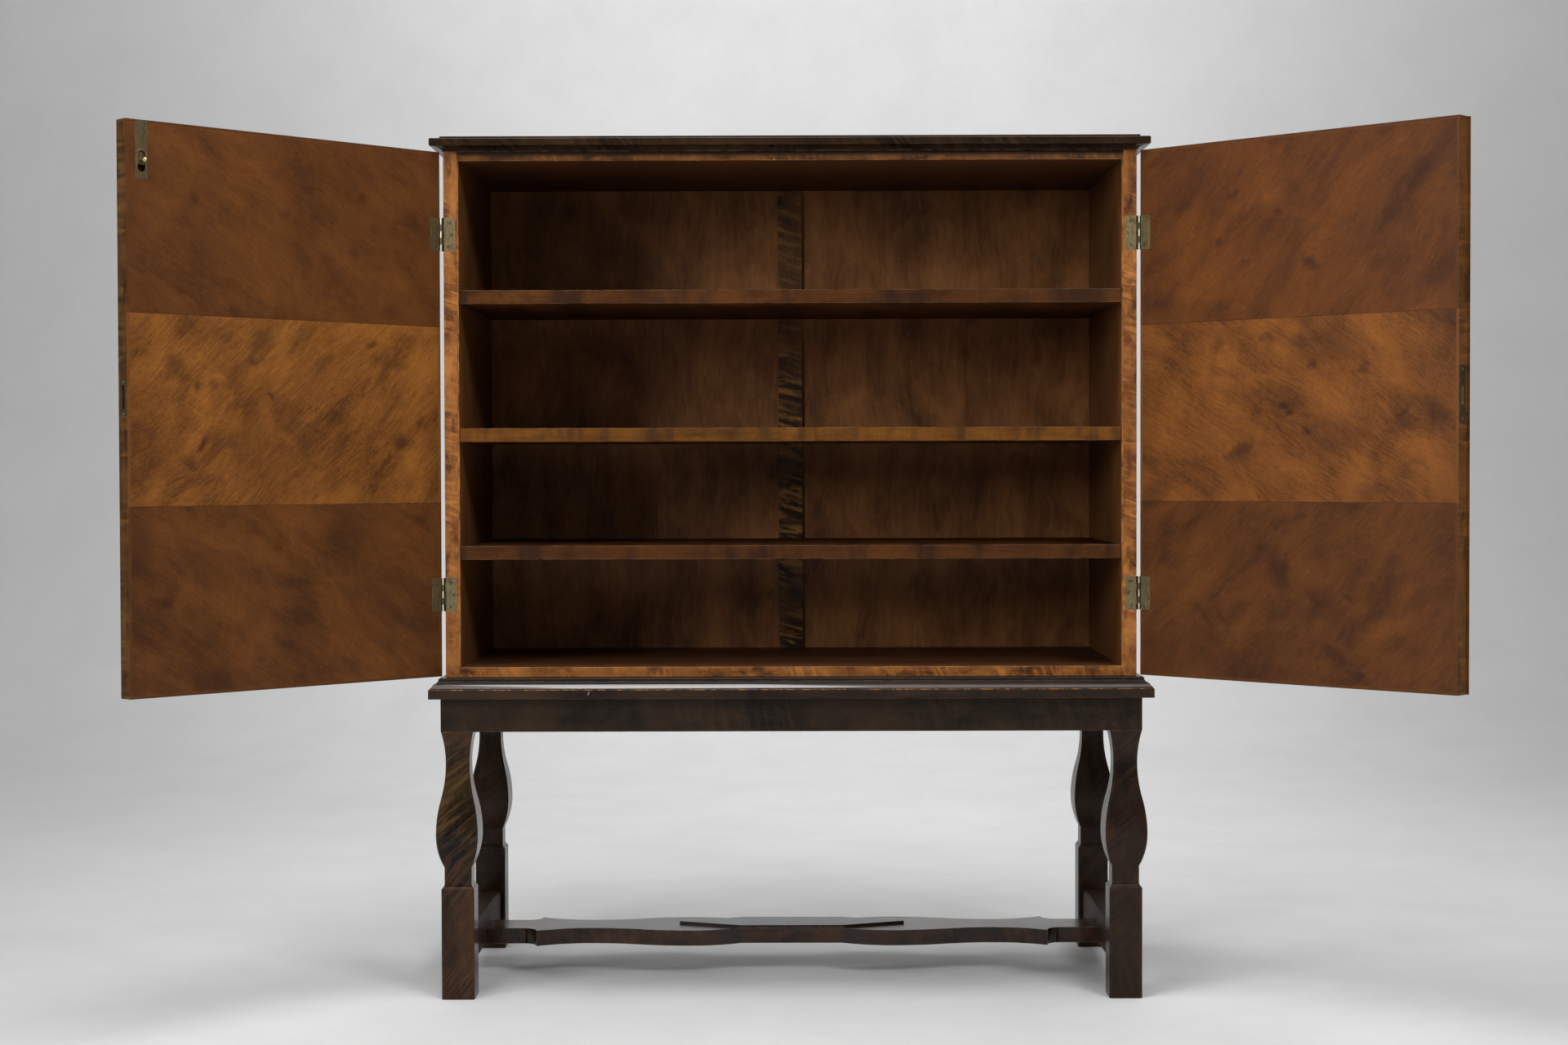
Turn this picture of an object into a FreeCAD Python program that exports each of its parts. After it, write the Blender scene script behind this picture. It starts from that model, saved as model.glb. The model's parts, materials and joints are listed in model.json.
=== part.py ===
import FreeCAD, Part
import math
import os
from types import SimpleNamespace

import Sketcher

os.makedirs("parts", exist_ok=True)
doc = FreeCAD.newDocument("Cabinet")

# Sizes in millimetres and degrees
VALUES = [
    ("case_width", 1033.0, "case over its sides"),
    ("case_height", 784.0, "case from stand to cornice"),
    ("case_depth", 414.0, "case from front edge to back"),
    ("case_front", -29.0, "front plane of the case"),
    ("stand_height", 480.0, "floor to the underside of the case"),
    ("side_thickness", 22.0, "case sides"),
    ("board_thickness", 14.0, "case top and bottom"),
    ("edging_depth", 8.0, "solid edging on the case front"),
    ("tongue_length", 7.0, "tongues of the top and bottom boards"),
    ("tongue_thickness", 6.0, "tongues of the top and bottom boards"),
    ("back_inset", 15.0, "front of the back panels from the case back"),
    ("back_thickness", 8.0, "back panels"),
    ("rebate_depth", 7.0, "rebates that take the back"),
    ("stile_width", 39.0, "centre stile of the back"),
    ("stile_proud", 5.0, "stile in front of the back panels"),
    ("stile_groove", 6.0, "grooves of the centre stile"),
    ("shelf_thickness", 20.0, "shelves"),
    ("shelf_setback", 3.0, "shelves behind the case front"),
    ("shelf_play", 0.5, "room at each end of a shelf"),
    ("pin_pitch", 29.4, "shelf pin holes, one above the other"),
    ("pin_start", 185.5, "lowest shelf pins above the case bottom"),
    ("pin_front", 66.0, "front column of pin holes from the case front"),
    ("pin_rear", 328.0, "rear column of pin holes from the case front"),
    ("pin_radius", 3.0, "shelf pins"),
    ("pin_depth", 11.0, "shelf pin holes"),
    ("pin_reach", 8.0, "shelf pins out of the sides"),
    ("cornice_overhang", 18.5, "cornice fascia beyond the case"),
    ("frame_width", 75.0, "cornice and stand moulding, front to back"),
    ("cornice_rail", 14.0, "flat part of the cornice frame"),
    ("top_panel_thickness", 8.0, "raised top panel"),
    ("top_panel_inset", 13.5, "raised top panel from the fascia"),
    ("moulding_overhang", 16.1, "stand moulding beyond the apron"),
    ("moulding_height", 30.0, "stand moulding"),
    ("apron_height", 50.0, "aprons"),
    ("apron_thickness", 22.0, "aprons"),
    ("apron_overhang", 5.0, "aprons beyond the case sides"),
    ("front_overhang", 24.0, "front apron before the case front"),
    ("leg_top", 24.0, "half width of a leg under the apron"),
    ("leg_neck", 17.7, "half width at the neck"),
    ("leg_bulge", 31.2, "half width at the bulge"),
    ("leg_collar", 20.2, "half width at the collar"),
    ("leg_block", 24.4, "half width of the foot block"),
    ("leg_arris", 2.2, "worn arrises of the legs"),
    ("neck_drop", 48.0, "neck below the top of the leg"),
    ("bulge_drop", 154.0, "bulge below the top of the leg"),
    ("collar_drop", 203.0, "upper end of the collar below the top"),
    ("collar_end", 228.0, "lower end of the collar below the top"),
    ("block_drop", 235.0, "foot block below the top of the leg"),
    ("head_width", 25.0, "leg head behind the aprons"),
    ("stretcher_bottom", 48.0, "stretchers above the floor"),
    ("stretcher_height", 48.0, "side stretchers"),
    ("stretcher_width", 36.0, "side stretchers"),
    ("stretcher_arris", 3.5, "top arrises of the side stretchers"),
    ("centre_thickness", 24.0, "centre stretcher"),
    ("centre_half", 35.0, "half depth of the centre stretcher at its ends"),
    ("centre_lobe", 57.0, "half depth of the centre stretcher at its lobes"),
    ("centre_waist", 34.0, "half depth of the centre stretcher at its waists"),
    ("plate_thickness", 4.0, "raised plate on the centre stretcher"),
    ("plate_tip", 177.0, "tips of the raised plate from the middle"),
    ("door_thickness", 23.0, "doors"),
    ("door_gap", 1.0, "doors before the case front"),
    ("door_clearance", 1.2, "doors above the stand and under the cornice"),
    ("door_edging", 4.0, "edging around the doors"),
    ("meeting_gap", 1.5, "between the closed doors"),
    ("left_open_angle", 135.7, "left door as it stands in the photograph"),
    ("right_open_angle", 137.0, "right door as it stands in the photograph"),
    ("hinge_offset", 2.8, "hinge axis outside the case side"),
    ("hinge_inset", 123.5, "hinge centres from the case top and bottom"),
    ("hinge_height", 50.0, "hinges"),
    ("leaf_width", 20.0, "hinge leaves from the hinge axis"),
    ("leaf_thickness", 1.8, "hinge leaves"),
    ("knuckle_radius", 3.0, "hinge knuckles"),
    ("hinge_pin_radius", 1.5, "hinge pins"),
    ("strip_width", 16.0, "meeting strip"),
    ("strip_thickness", 4.0, "meeting strip"),
    ("strip_reach", 3.0, "meeting strip beyond the right door"),
    ("bolt_inset", 24.0, "door bolt from the free edge of the left door"),
    ("bolt_radius", 3.5, "door bolt rod"),
    ("bolt_travel", 11.0, "door bolt"),
    ("lock_height", 888.0, "middle of the lock above the floor"),
    ("lock_travel", 9.0, "lock bolt"),
]

sheet = doc.addObject("Spreadsheet::Sheet", "Sizes")
for row, (name, value, note) in enumerate(VALUES, start=1):
    sheet.set(f"A{row}", name)
    sheet.set(f"B{row}", str(value))
    sheet.setAlias(f"B{row}", name)
    sheet.set(f"C{row}", note)
doc.recompute()


class Size:
    """A length that carries its number and the expression it comes from."""

    def __init__(self, value, text):
        self.value = value
        self.text = text

    def combine(self, other, sign, value):
        return Size(value, f"({self.text} {sign} {other.text})")

    def __add__(self, other):
        other = as_size(other)
        return self.combine(other, "+", self.value + other.value)

    def __radd__(self, other):
        return as_size(other) + self

    def __sub__(self, other):
        other = as_size(other)
        return self.combine(other, "-", self.value - other.value)

    def __rsub__(self, other):
        return as_size(other) - self

    def __mul__(self, other):
        other = as_size(other)
        return self.combine(other, "*", self.value * other.value)

    def __rmul__(self, other):
        return as_size(other) * self

    def __truediv__(self, other):
        other = as_size(other)
        return self.combine(other, "/", self.value / other.value)

    def __neg__(self):
        return self * -1


def as_size(value):
    """Turn a plain number into a length with its own text."""
    if isinstance(value, Size):
        return value
    return Size(float(value), f"({float(value)!r})")


size = SimpleNamespace(**{name: Size(value, "Sizes." + name) for name, value, note in VALUES})

X_AXIS = FreeCAD.Vector(1, 0, 0)
Y_AXIS = FreeCAD.Vector(0, 1, 0)
Z_AXIS = FreeCAD.Vector(0, 0, 1)
TURNS = {
    "+z": (Z_AXIS, 0),
    "+y": (X_AXIS, -90),
    "-y": (X_AXIS, 90),
    "+x": (Y_AXIS, 90),
    "-x": (Y_AXIS, -90),
}
pieces = {}


def bind(obj, prop, value):
    """Drive a property by a length."""
    obj.setExpression(prop, as_size(value).text)


def place(obj, at, along="+z"):
    """Put an object at a point, turned so that its own z runs along an axis."""
    axis, angle = TURNS[along]
    obj.Placement = FreeCAD.Placement(FreeCAD.Vector(0, 0, 0), FreeCAD.Rotation(axis, angle))
    for letter, value in zip("xyz", at):
        bind(obj, "Placement.Base." + letter, value)
    return obj


def box(name, x, y, z):
    """A block between two x, two y and two z values."""
    obj = doc.addObject("Part::Box", name)
    for prop, (low, high) in zip(("Length", "Width", "Height"), (x, y, z)):
        bind(obj, prop, as_size(high) - low)
    return place(obj, (x[0], y[0], z[0]))


def rod(name, radius, length, at, along="+z"):
    """A round bar that starts at a point."""
    obj = doc.addObject("Part::Cylinder", name)
    bind(obj, "Radius", radius)
    bind(obj, "Height", length)
    return place(obj, at, along)


def peg(name, radius, length, at, along="+z"):
    """A bar with twelve sides, for small round details that repeat many times."""
    obj = doc.addObject("Part::Prism", name)
    obj.Polygon = 12
    bind(obj, "Circumradius", radius)
    bind(obj, "Height", length)
    return place(obj, at, along)


def cone(name, first_radius, last_radius, length, at, along="+z"):
    """A tapered bar that starts at a point."""
    obj = doc.addObject("Part::Cone", name)
    bind(obj, "Radius1", first_radius)
    bind(obj, "Radius2", last_radius)
    bind(obj, "Height", length)
    return place(obj, at, along)


def on_side(side, near, far):
    """Two x values on one side of the middle, in rising order."""
    return (near, far) if side > 0 else (-as_size(far), -as_size(near))


def fuse(name, parts):
    """Join solids into one."""
    if len(parts) == 1:
        return parts[0]
    obj = doc.addObject("Part::MultiFuse", name)
    obj.Shapes = parts
    obj.Refine = True
    return obj


def cut(name, base, tools):
    """Take tools away from a solid."""
    obj = doc.addObject("Part::Cut", name)
    obj.Base = base
    obj.Tool = fuse(name + "_waste", tools)
    obj.Refine = True
    return obj


def group(name, parts):
    """Keep separate solids together in one node."""
    obj = doc.addObject("Part::Compound", name)
    obj.Links = parts
    return obj


def keep(name, obj):
    """Name a finished piece."""
    obj.Label = name
    pieces[name] = obj
    return obj


def new_body(name, at=(0, 0, 0)):
    """An empty body at a point."""
    return place(doc.addObject("PartDesign::Body", name), at)


def outline(body, name, plane, path, height=0):
    """A sketch from points and arcs, every point and radius driven.

    A step of the path is a point, or a point with the radius and the turn of the arc
    that leads from it to the next one.
    """
    sketch = body.newObject("Sketcher::SketchObject", name)
    origin = [feature for feature in body.Origin.OriginFeatures if feature.Role == plane][0]
    sketch.AttachmentSupport = [(origin, "")]
    sketch.MapMode = "FlatFace"
    bind(sketch, "AttachmentOffset.Base.z", height)
    add_loop(sketch, path)
    return sketch


def add_loop(sketch, path):
    """Add one closed and fully driven loop to a sketch."""
    steps = [(as_size(step[0]), as_size(step[1]), step[2:]) for step in path]
    first = sketch.GeometryCount
    starts = []
    ends = []
    for number, (x, y, arc) in enumerate(steps):
        next_x, next_y = steps[(number + 1) % len(steps)][:2]
        start = FreeCAD.Vector(x.value, y.value, 0)
        end = FreeCAD.Vector(next_x.value, next_y.value, 0)
        if not arc:
            sketch.addGeometry(Part.LineSegment(start, end), False)
            starts.append(1)
            ends.append(2)
            continue
        radius, turn = as_size(arc[0]), arc[1]
        chord = end - start
        reach = math.sqrt(max(radius.value ** 2 - (chord.Length / 2) ** 2, 0.0))
        left = FreeCAD.Vector(-chord.y, chord.x, 0).normalize()
        centre = (start + end) * 0.5 + left * (reach if turn == "left" else -reach)
        low, high = (start, end) if turn == "left" else (end, start)
        angles = [math.atan2(point.y - centre.y, point.x - centre.x) for point in (low, high)]
        if angles[1] < angles[0]:
            angles[1] += 2 * math.pi
        circle = Part.Circle(centre, Z_AXIS, radius.value)
        sketch.addGeometry(Part.ArcOfCircle(circle, *angles), False)
        starts.append(1 if turn == "left" else 2)
        ends.append(2 if turn == "left" else 1)
    for number, (x, y, arc) in enumerate(steps):
        this = first + number
        following = (number + 1) % len(steps)
        joint = Sketcher.Constraint(
            "Coincident", this, ends[number], first + following, starts[following]
        )
        sketch.addConstraint(joint)
        for kind, value in (("DistanceX", x), ("DistanceY", y)):
            rule = Sketcher.Constraint(kind, -1, 1, this, starts[number], value.value)
            index = sketch.addConstraint(rule)
            sketch.setExpression(f"Constraints[{index}]", value.text)
        if arc:
            radius = as_size(arc[0])
            index = sketch.addConstraint(Sketcher.Constraint("Radius", this, radius.value))
            sketch.setExpression(f"Constraints[{index}]", radius.text)


def pad(body, name, sketch, length, both_sides=False):
    """Raise a sketch into a solid."""
    feature = body.newObject("PartDesign::Pad", name)
    feature.Profile = sketch
    bind(feature, "Length", length)
    if both_sides:
        feature.SideType = "Symmetric"
    return feature


def pocket(body, name, sketch):
    """Cut a sketch right through, to both sides of its plane."""
    feature = body.newObject("PartDesign::Pocket", name)
    feature.Profile = sketch
    feature.Type = "ThroughAll"
    feature.SideType = "Symmetric"
    return feature


# Planes and faces that several pieces share
case_half = size.case_width / 2
inner_half = case_half - size.side_thickness
case_bottom_z = size.stand_height
case_top_z = size.stand_height + size.case_height
front_y = size.case_front
back_y = front_y + size.case_depth
inside_y = back_y - size.back_inset
panel_back_y = inside_y + size.back_thickness
bottom_inside_z = case_bottom_z + size.board_thickness
top_inside_z = case_top_z - size.board_thickness
apron_half = case_half + size.apron_overhang
apron_front_y = front_y - size.front_overhang
apron_top_z = size.stand_height - size.moulding_height
leg_top_z = apron_top_z - size.apron_height
axis_x = case_half + size.hinge_offset
axis_y = front_y - size.door_gap / 2
door_bottom_z = case_bottom_z + size.door_clearance
door_top_z = case_top_z - size.door_clearance
hinge_centres = (case_bottom_z + size.hinge_inset, case_top_z - size.hinge_inset)


# Legs: one outline sawn from the front and again from the side
def leg_half(widest, arris):
    """Right half of the leg outline from the top down, half widths changed by an arris."""

    def width(value):
        return widest * (value - arris)

    neck = width(size.leg_neck)
    bulge = width(size.leg_bulge)
    collar = width(size.leg_collar)
    top = width(size.leg_top)
    block = width(size.leg_block)
    swell = bulge - neck
    hollow = top - neck
    fall = bulge - collar
    upper = size.neck_drop
    middle = size.bulge_drop - size.neck_drop
    lower = size.collar_drop - size.bulge_drop
    top_radius = (hollow * hollow + upper * upper) / (2 * hollow)
    swell_radius = (swell * swell + middle * middle) / (4 * swell)
    fall_radius = (fall * fall + lower * lower) / (2 * fall)
    step = block - collar
    foot = size.block_drop - size.collar_end
    return [
        (top, leg_top_z, top_radius * 1.001, "left"),
        (neck, leg_top_z - size.neck_drop, swell_radius, "left"),
        ((neck + bulge) / 2, leg_top_z - (size.neck_drop + size.bulge_drop) / 2, swell_radius, "right"),
        (bulge, leg_top_z - size.bulge_drop, fall_radius, "right"),
        (collar, leg_top_z - size.collar_drop),
        (collar, leg_top_z - size.collar_end, (step + foot) * 0.8, "left"),
        (block, leg_top_z - size.block_drop),
        (block, as_size(0)),
    ]


def mirror_path(path):
    """The same steps on the other side, in the opposite order."""
    mirrored = []
    for number in reversed(range(len(path))):
        x, y = path[number][:2]
        arc = path[number - 1][2:] if number else ()
        mirrored.append((-as_size(x), y, *arc))
    return mirrored


def waste_loops(half, outer):
    """The two loops that a band saw takes off beside an outline."""
    top = half[0]
    foot = half[-1]
    above = as_size(top[1]) + 5
    below = as_size(foot[1]) - 5
    right = [(top[0], above), *half, (foot[0], below), (outer, below), (outer, above)]
    left = [(-x, y, *arc) for x, y, *arc in right]
    turned = {"left": "right", "right": "left"}
    left = [(x, y, arc[0], turned[arc[1]]) if arc else (x, y) for x, y, *arc in left]
    return right, left


def make_leg(name, side, end, x, y):
    """One baluster leg with a head for the apron corner and a mortise for the stretcher."""
    body = new_body(name + "_body", (x, y, 0))
    half = leg_half(as_size(1), as_size(0))
    front = outline(body, name + "_front", "XZ_Plane", half + mirror_path(half))
    pad(body, name + "_blank", front, size.leg_bulge * 2 + 4, both_sides=True)
    outer = size.leg_bulge + 12
    saw = outline(body, name + "_side", "YZ_Plane", waste_loops(half, outer)[0])
    add_loop(saw, waste_loops(half, outer)[1])
    pocket(body, name + "_sawn", saw)
    worn = leg_half(as_size(math.sqrt(2)), size.leg_arris / 2)
    for number, angle in enumerate((45, -45)):
        loops = waste_loops(worn, outer * 1.5)
        plane = outline(body, f"{name}_arris_{number}", "XZ_Plane", loops[0])
        add_loop(plane, loops[1])
        plane.AttachmentOffset = FreeCAD.Placement(
            FreeCAD.Vector(0, 0, 0), FreeCAD.Rotation(Y_AXIS, angle)
        )
        pocket(body, f"{name}_eased_{number}", plane)
    inner = size.leg_top - size.apron_thickness
    far = inner - size.head_width
    corners = [(inner, inner), (far, inner), (far, far), (inner, far)]
    square = [(side * across, end * deep) for across, deep in corners]
    head = outline(body, name + "_head", "XY_Plane", square, leg_top_z)
    pad(body, name + "_raised", head, size.apron_height)
    tenon_x = on_side(side, stretcher_x + 10, stretcher_x + size.stretcher_width - 10)
    reach = size.leg_block - 20
    face = size.leg_block + 1
    tenon_y = (y - face, y - reach) if end > 0 else (y + reach, y + face)
    mortise = box(name + "_mortise", tenon_x, tenon_y, (size.stretcher_bottom + 6, tenon_top))
    keep(name, cut(name, body, [mortise]))


leg_x = apron_half - size.leg_top
front_leg_y = apron_front_y + size.leg_top
rear_leg_y = back_y - size.leg_top
stretcher_x = leg_x - size.stretcher_width / 2 + 0.5
stretcher_top_z = size.stretcher_bottom + size.stretcher_height
tenon_top = stretcher_top_z - 6
make_leg("front_left_leg", -1, -1, -leg_x, front_leg_y)
make_leg("front_right_leg", 1, -1, leg_x, front_leg_y)
make_leg("rear_left_leg", -1, 1, -leg_x, rear_leg_y)
make_leg("rear_right_leg", 1, 1, leg_x, rear_leg_y)


def mitred_front(name, half, low_y, profile):
    """A moulded rail across the front, mitred at both ends."""
    body = new_body(name + "_body")
    section = outline(body, name + "_section", "YZ_Plane", profile)
    pad(body, name + "_run", section, half * 2, both_sides=True)
    width = size.frame_width
    corner = [
        (-half - 5, low_y - 5),
        (-half + width + 5, low_y + width + 5),
        (-half - 5, low_y + width + 5),
    ]
    mitre = outline(body, name + "_mitre", "XY_Plane", corner)
    add_loop(mitre, [(-x, y) for x, y in corner])
    pocket(body, name + "_mitred", mitre)
    return body


def mitred_side(name, side, half, low_y, profile):
    """A moulded rail along one side, mitred at the front and square at the back."""
    body = new_body(name + "_body", (0, back_y, 0))
    section = outline(body, name + "_section", "XZ_Plane", profile)
    length = back_y - low_y
    pad(body, name + "_run", section, length)
    width = size.frame_width
    corner = [
        (side * (half + 5), -length - 5),
        (side * (half - width - 5), -length - 5),
        (side * (half - width - 5), -length + width + 5),
    ]
    mitre = outline(body, name + "_mitre", "XY_Plane", corner)
    pocket(body, name + "_mitred", mitre)
    return body


def cornice_profile(place_x, base, turn):
    """Section of the cornice, from the inner edge along the soffit to the fascia and the top."""
    steps = [
        (size.frame_width, 0),
        (17, 0),
        (17, 1.5, 20, turn),
        (1.5, 6.5),
        (0, 7.5),
        (0, 16.8),
        (1.2, 18),
        (size.top_panel_inset, 18),
        (size.top_panel_inset, size.cornice_rail),
        (size.frame_width, size.cornice_rail),
    ]
    return [(place_x(as_size(w)), base + h, *arc) for w, h, *arc in steps]


def stand_profile(place_x, base, turn):
    """Section of the stand moulding, from the underside over the fascia, slope, hollow and bead."""
    hollow_top = size.moulding_height - 4.6
    steps = [
        (size.frame_width, 0),
        (0, 0),
        (0, 13.3),
        (1.0, 14.3),
        (2.0, 14.3),
        (2.0, 15.6, 24, turn),
        (6.8, 21.2),
        (7.8, 21.2, 6, turn),
        (12.4, hollow_top),
        (13.4, hollow_top),
        (13.4, size.moulding_height - 1.4),
        (14.8, size.moulding_height),
        (size.frame_width, size.moulding_height),
    ]
    return [(place_x(as_size(w)), base + h, *arc) for w, h, *arc in steps]


# Cornice
fascia_half = case_half + size.cornice_overhang
fascia_y = front_y - size.cornice_overhang
profile = cornice_profile(lambda w: fascia_y + w, case_top_z, "left")
front_cornice = mitred_front("front_cornice", fascia_half, fascia_y, profile)
keeper_x = size.bolt_inset + size.meeting_gap / 2
bolt_v = size.bolt_radius + size.door_gap / 2 + 2.3
keeper_at = (-keeper_x, axis_y - bolt_v, case_top_z)
keeper = rod("keeper_hole", size.bolt_radius + 0.8, 12, keeper_at)
keep("front_cornice", cut("front_cornice", front_cornice, [keeper]))
profile = cornice_profile(lambda w: w - fascia_half, case_top_z, "left")
keep("left_cornice", mitred_side("left_cornice", -1, fascia_half, fascia_y, profile))
profile = cornice_profile(lambda w: fascia_half - w, case_top_z, "right")
keep("right_cornice", mitred_side("right_cornice", 1, fascia_half, fascia_y, profile))
rail_x = fascia_half - size.frame_width
rail_y = (back_y - size.frame_width, back_y)
rail_z = (case_top_z, case_top_z + size.cornice_rail)
keep("rear_cornice_rail", box("rear_cornice_rail", (-rail_x, rail_x), rail_y, rail_z))
panel_x = fascia_half - size.top_panel_inset - 0.3
panel_y = (fascia_y + size.top_panel_inset + 0.3, back_y)
panel_z = (rail_z[1], rail_z[1] + size.top_panel_thickness)
keep("top_panel", box("top_panel", (-panel_x, panel_x), panel_y, panel_z))

# Stand moulding
stand_half = apron_half + size.moulding_overhang
stand_y = apron_front_y - size.moulding_overhang
profile = stand_profile(lambda w: stand_y + w, apron_top_z, "left")
keep("front_stand_moulding", mitred_front("front_stand_moulding", stand_half, stand_y, profile))
profile = stand_profile(lambda w: w - stand_half, apron_top_z, "left")
keep("left_stand_moulding", mitred_side("left_stand_moulding", -1, stand_half, stand_y, profile))
profile = stand_profile(lambda w: stand_half - w, apron_top_z, "right")
keep("right_stand_moulding", mitred_side("right_stand_moulding", 1, stand_half, stand_y, profile))
rail_x = stand_half - size.frame_width
rail_y = (back_y - size.frame_width, back_y)
rail_z = (apron_top_z, size.stand_height)
keep("rear_stand_rail", box("rear_stand_rail", (-rail_x, rail_x), rail_y, rail_z))


# Aprons, mitred at the four corners
def make_apron(name, corners):
    """One apron board from the plan of its mitred length."""
    body = new_body(name + "_body")
    plan = outline(body, name + "_plan", "XY_Plane", corners, leg_top_z)
    pad(body, name + "_board", plan, size.apron_height)
    keep(name, body)


thick = size.apron_thickness
inner_x = apron_half - thick
front_in = apron_front_y + thick
rear_in = back_y - thick
for name, outer_y, inner_y in (
    ("front_apron", apron_front_y, front_in),
    ("rear_apron", back_y, rear_in),
):
    plan = [
        (-apron_half, outer_y),
        (apron_half, outer_y),
        (inner_x, inner_y),
        (-inner_x, inner_y),
    ]
    make_apron(name, plan)
for name, side in (("left_apron", -1), ("right_apron", 1)):
    plan = [
        (side * apron_half, apron_front_y),
        (side * apron_half, back_y),
        (side * inner_x, rear_in),
        (side * inner_x, front_in),
    ]
    make_apron(name, plan)

# Side stretchers with stub tenons
stretcher_y = (front_leg_y + size.leg_block, rear_leg_y - size.leg_block)
middle_y = (stretcher_y[0] + stretcher_y[1]) / 2
tenon_z = (size.stretcher_bottom + 7, size.stretcher_bottom + 17)
for name, side in (("left_stretcher", -1), ("right_stretcher", 1)):
    body = new_body(name + "_body", (0, stretcher_y[1], 0))
    low, high = stretcher_x, stretcher_x + size.stretcher_width
    arris = size.stretcher_arris
    section = [
        (side * low, size.stretcher_bottom),
        (side * high, size.stretcher_bottom),
        (side * high, stretcher_top_z - arris),
        (side * (high - arris), stretcher_top_z),
        (side * (low + arris), stretcher_top_z),
        (side * low, stretcher_top_z - arris),
    ]
    sketch = outline(body, name + "_section", "XZ_Plane", section)
    pad(body, name + "_bar", sketch, stretcher_y[1] - stretcher_y[0])
    tenon = box(
        name + "_tenons",
        on_side(side, low + 10, high - 10),
        (stretcher_y[0] - 20, stretcher_y[1] + 20),
        (size.stretcher_bottom + 6, tenon_top),
    )
    bar = fuse(name + "_joined", [body, tenon])
    mortise_x = on_side(side, low - 1, low + 15)
    mortise = box(name + "_mortise", mortise_x, (middle_y - 25, middle_y + 25), tenon_z)
    keep(name, cut(name, bar, [mortise]))

# Centre stretcher with its serpentine outline
half_length = stretcher_x
lobe_rise = size.centre_lobe - size.centre_waist
corner_rise = size.centre_lobe - size.centre_half
shares = (0.870, 0.829, 0.656, 0.329, 0.1646)
step_x, cusp_x, waist_x, lobe_x, corner_x = (half_length * share for share in shares)


def sweep(run, rise, arcs):
    """Radius of an arc that starts level and climbs a rise over a run, in one or two arcs."""
    return (run * run + rise * rise) / (2 * arcs * rise)


quarter = [
    (half_length, size.centre_half),
    (step_x, size.centre_half, corner_rise * 0.97, "right"),
    (cusp_x, size.centre_lobe, sweep(cusp_x - waist_x, lobe_rise, 1), "right"),
    (waist_x, size.centre_waist, sweep(waist_x - lobe_x, lobe_rise, 2), "right"),
    (
        (waist_x + lobe_x) / 2,
        (size.centre_waist + size.centre_lobe) / 2,
        sweep(waist_x - lobe_x, lobe_rise, 2),
        "left",
    ),
    (lobe_x, size.centre_lobe, sweep(lobe_x - corner_x, corner_rise, 1), "left"),
    (corner_x, size.centre_half),
]
upper_half = quarter + mirror_path(quarter)
lower_half = []
for number in reversed(range(len(upper_half))):
    x, y = upper_half[number][:2]
    arc = upper_half[number - 1][2:] if number else ()
    lower_half.append((x, -as_size(y), *arc))
body = new_body("centre_stretcher_body", (0, middle_y, 0))
plan = outline(body, "centre_plan", "XY_Plane", upper_half + lower_half, size.stretcher_bottom)
pad(body, "centre_board", plan, size.centre_thickness)
ends = []
tenon_reach = half_length + 15
for side in (-1, 1):
    x = on_side(side, half_length - 5, tenon_reach)
    ends.append(box(f"centre_tenon_{side + 1}", x, (middle_y - 25, middle_y + 25), tenon_z))
keep("centre_stretcher", fuse("centre_stretcher", [body, *ends]))
tips = [
    (size.plate_tip, 0),
    (corner_x, size.centre_half),
    (-corner_x, size.centre_half),
    (-size.plate_tip, 0),
    (-corner_x, -size.centre_half),
    (corner_x, -size.centre_half),
]
body = new_body("stretcher_plate_body", (0, middle_y, 0))
centre_top_z = size.stretcher_bottom + size.centre_thickness
plan = outline(body, "plate_plan", "XY_Plane", tips, centre_top_z)
pad(body, "plate_board", plan, size.plate_thickness)
keep("stretcher_plate", body)


# Butt hinges with five knuckles
KNUCKLES = 5


def hinge_leaf(name, at, inward, behind, centre, owned):
    """One leaf with its own knuckles, cleared for those of the other leaf."""
    x, y = at
    low_z = centre - size.hinge_height / 2
    step = size.hinge_height / KNUCKLES
    plate_x = (x, x + size.leaf_width) if inward > 0 else (x - size.leaf_width, x)
    near = size.door_gap / 2
    far = near + size.leaf_thickness
    plate_y = (y + near, y + far) if behind > 0 else (y - far, y - near)
    plate_z = (low_z + 0.1, low_z + size.hinge_height - 0.1)
    plate = box(name + "_plate", plate_x, plate_y, plate_z)
    own = []
    other = []
    room = size.knuckle_radius + 0.3
    for number in range(KNUCKLES):
        bottom = low_z + step * number
        if number in owned:
            start = (x, y, bottom + 0.1)
            own.append(rod(f"{name}_knuckle_{number}", size.knuckle_radius, step - 0.2, start))
        else:
            notch_x, notch_y = ((value - room, value + room) for value in (x, y))
            other.append(box(f"{name}_notch_{number}", notch_x, notch_y, (bottom, bottom + step)))
    bore_radius = size.hinge_pin_radius + 0.05
    bore = rod(name + "_bore", bore_radius, size.hinge_height + 2, (x, y, low_z - 1))
    blank = fuse(name + "_blank", [plate, *own])
    return cut(name, blank, [*other, bore])


def leaf_recess(name, at, inward, behind, centre):
    """The shallow recess that takes a leaf, open to the knuckles."""
    x, y = at
    reach = size.leaf_width + 0.1
    plate_x = (x, x + reach) if inward > 0 else (x - reach, x)
    near = size.door_gap / 2 - 1
    far = size.door_gap / 2 + size.leaf_thickness + 0.1
    plate_y = (y + near, y + far) if behind > 0 else (y - far, y - near)
    half = size.hinge_height / 2 + 0.1
    return box(name, plate_x, plate_y, (centre - half, centre + half))


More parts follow.
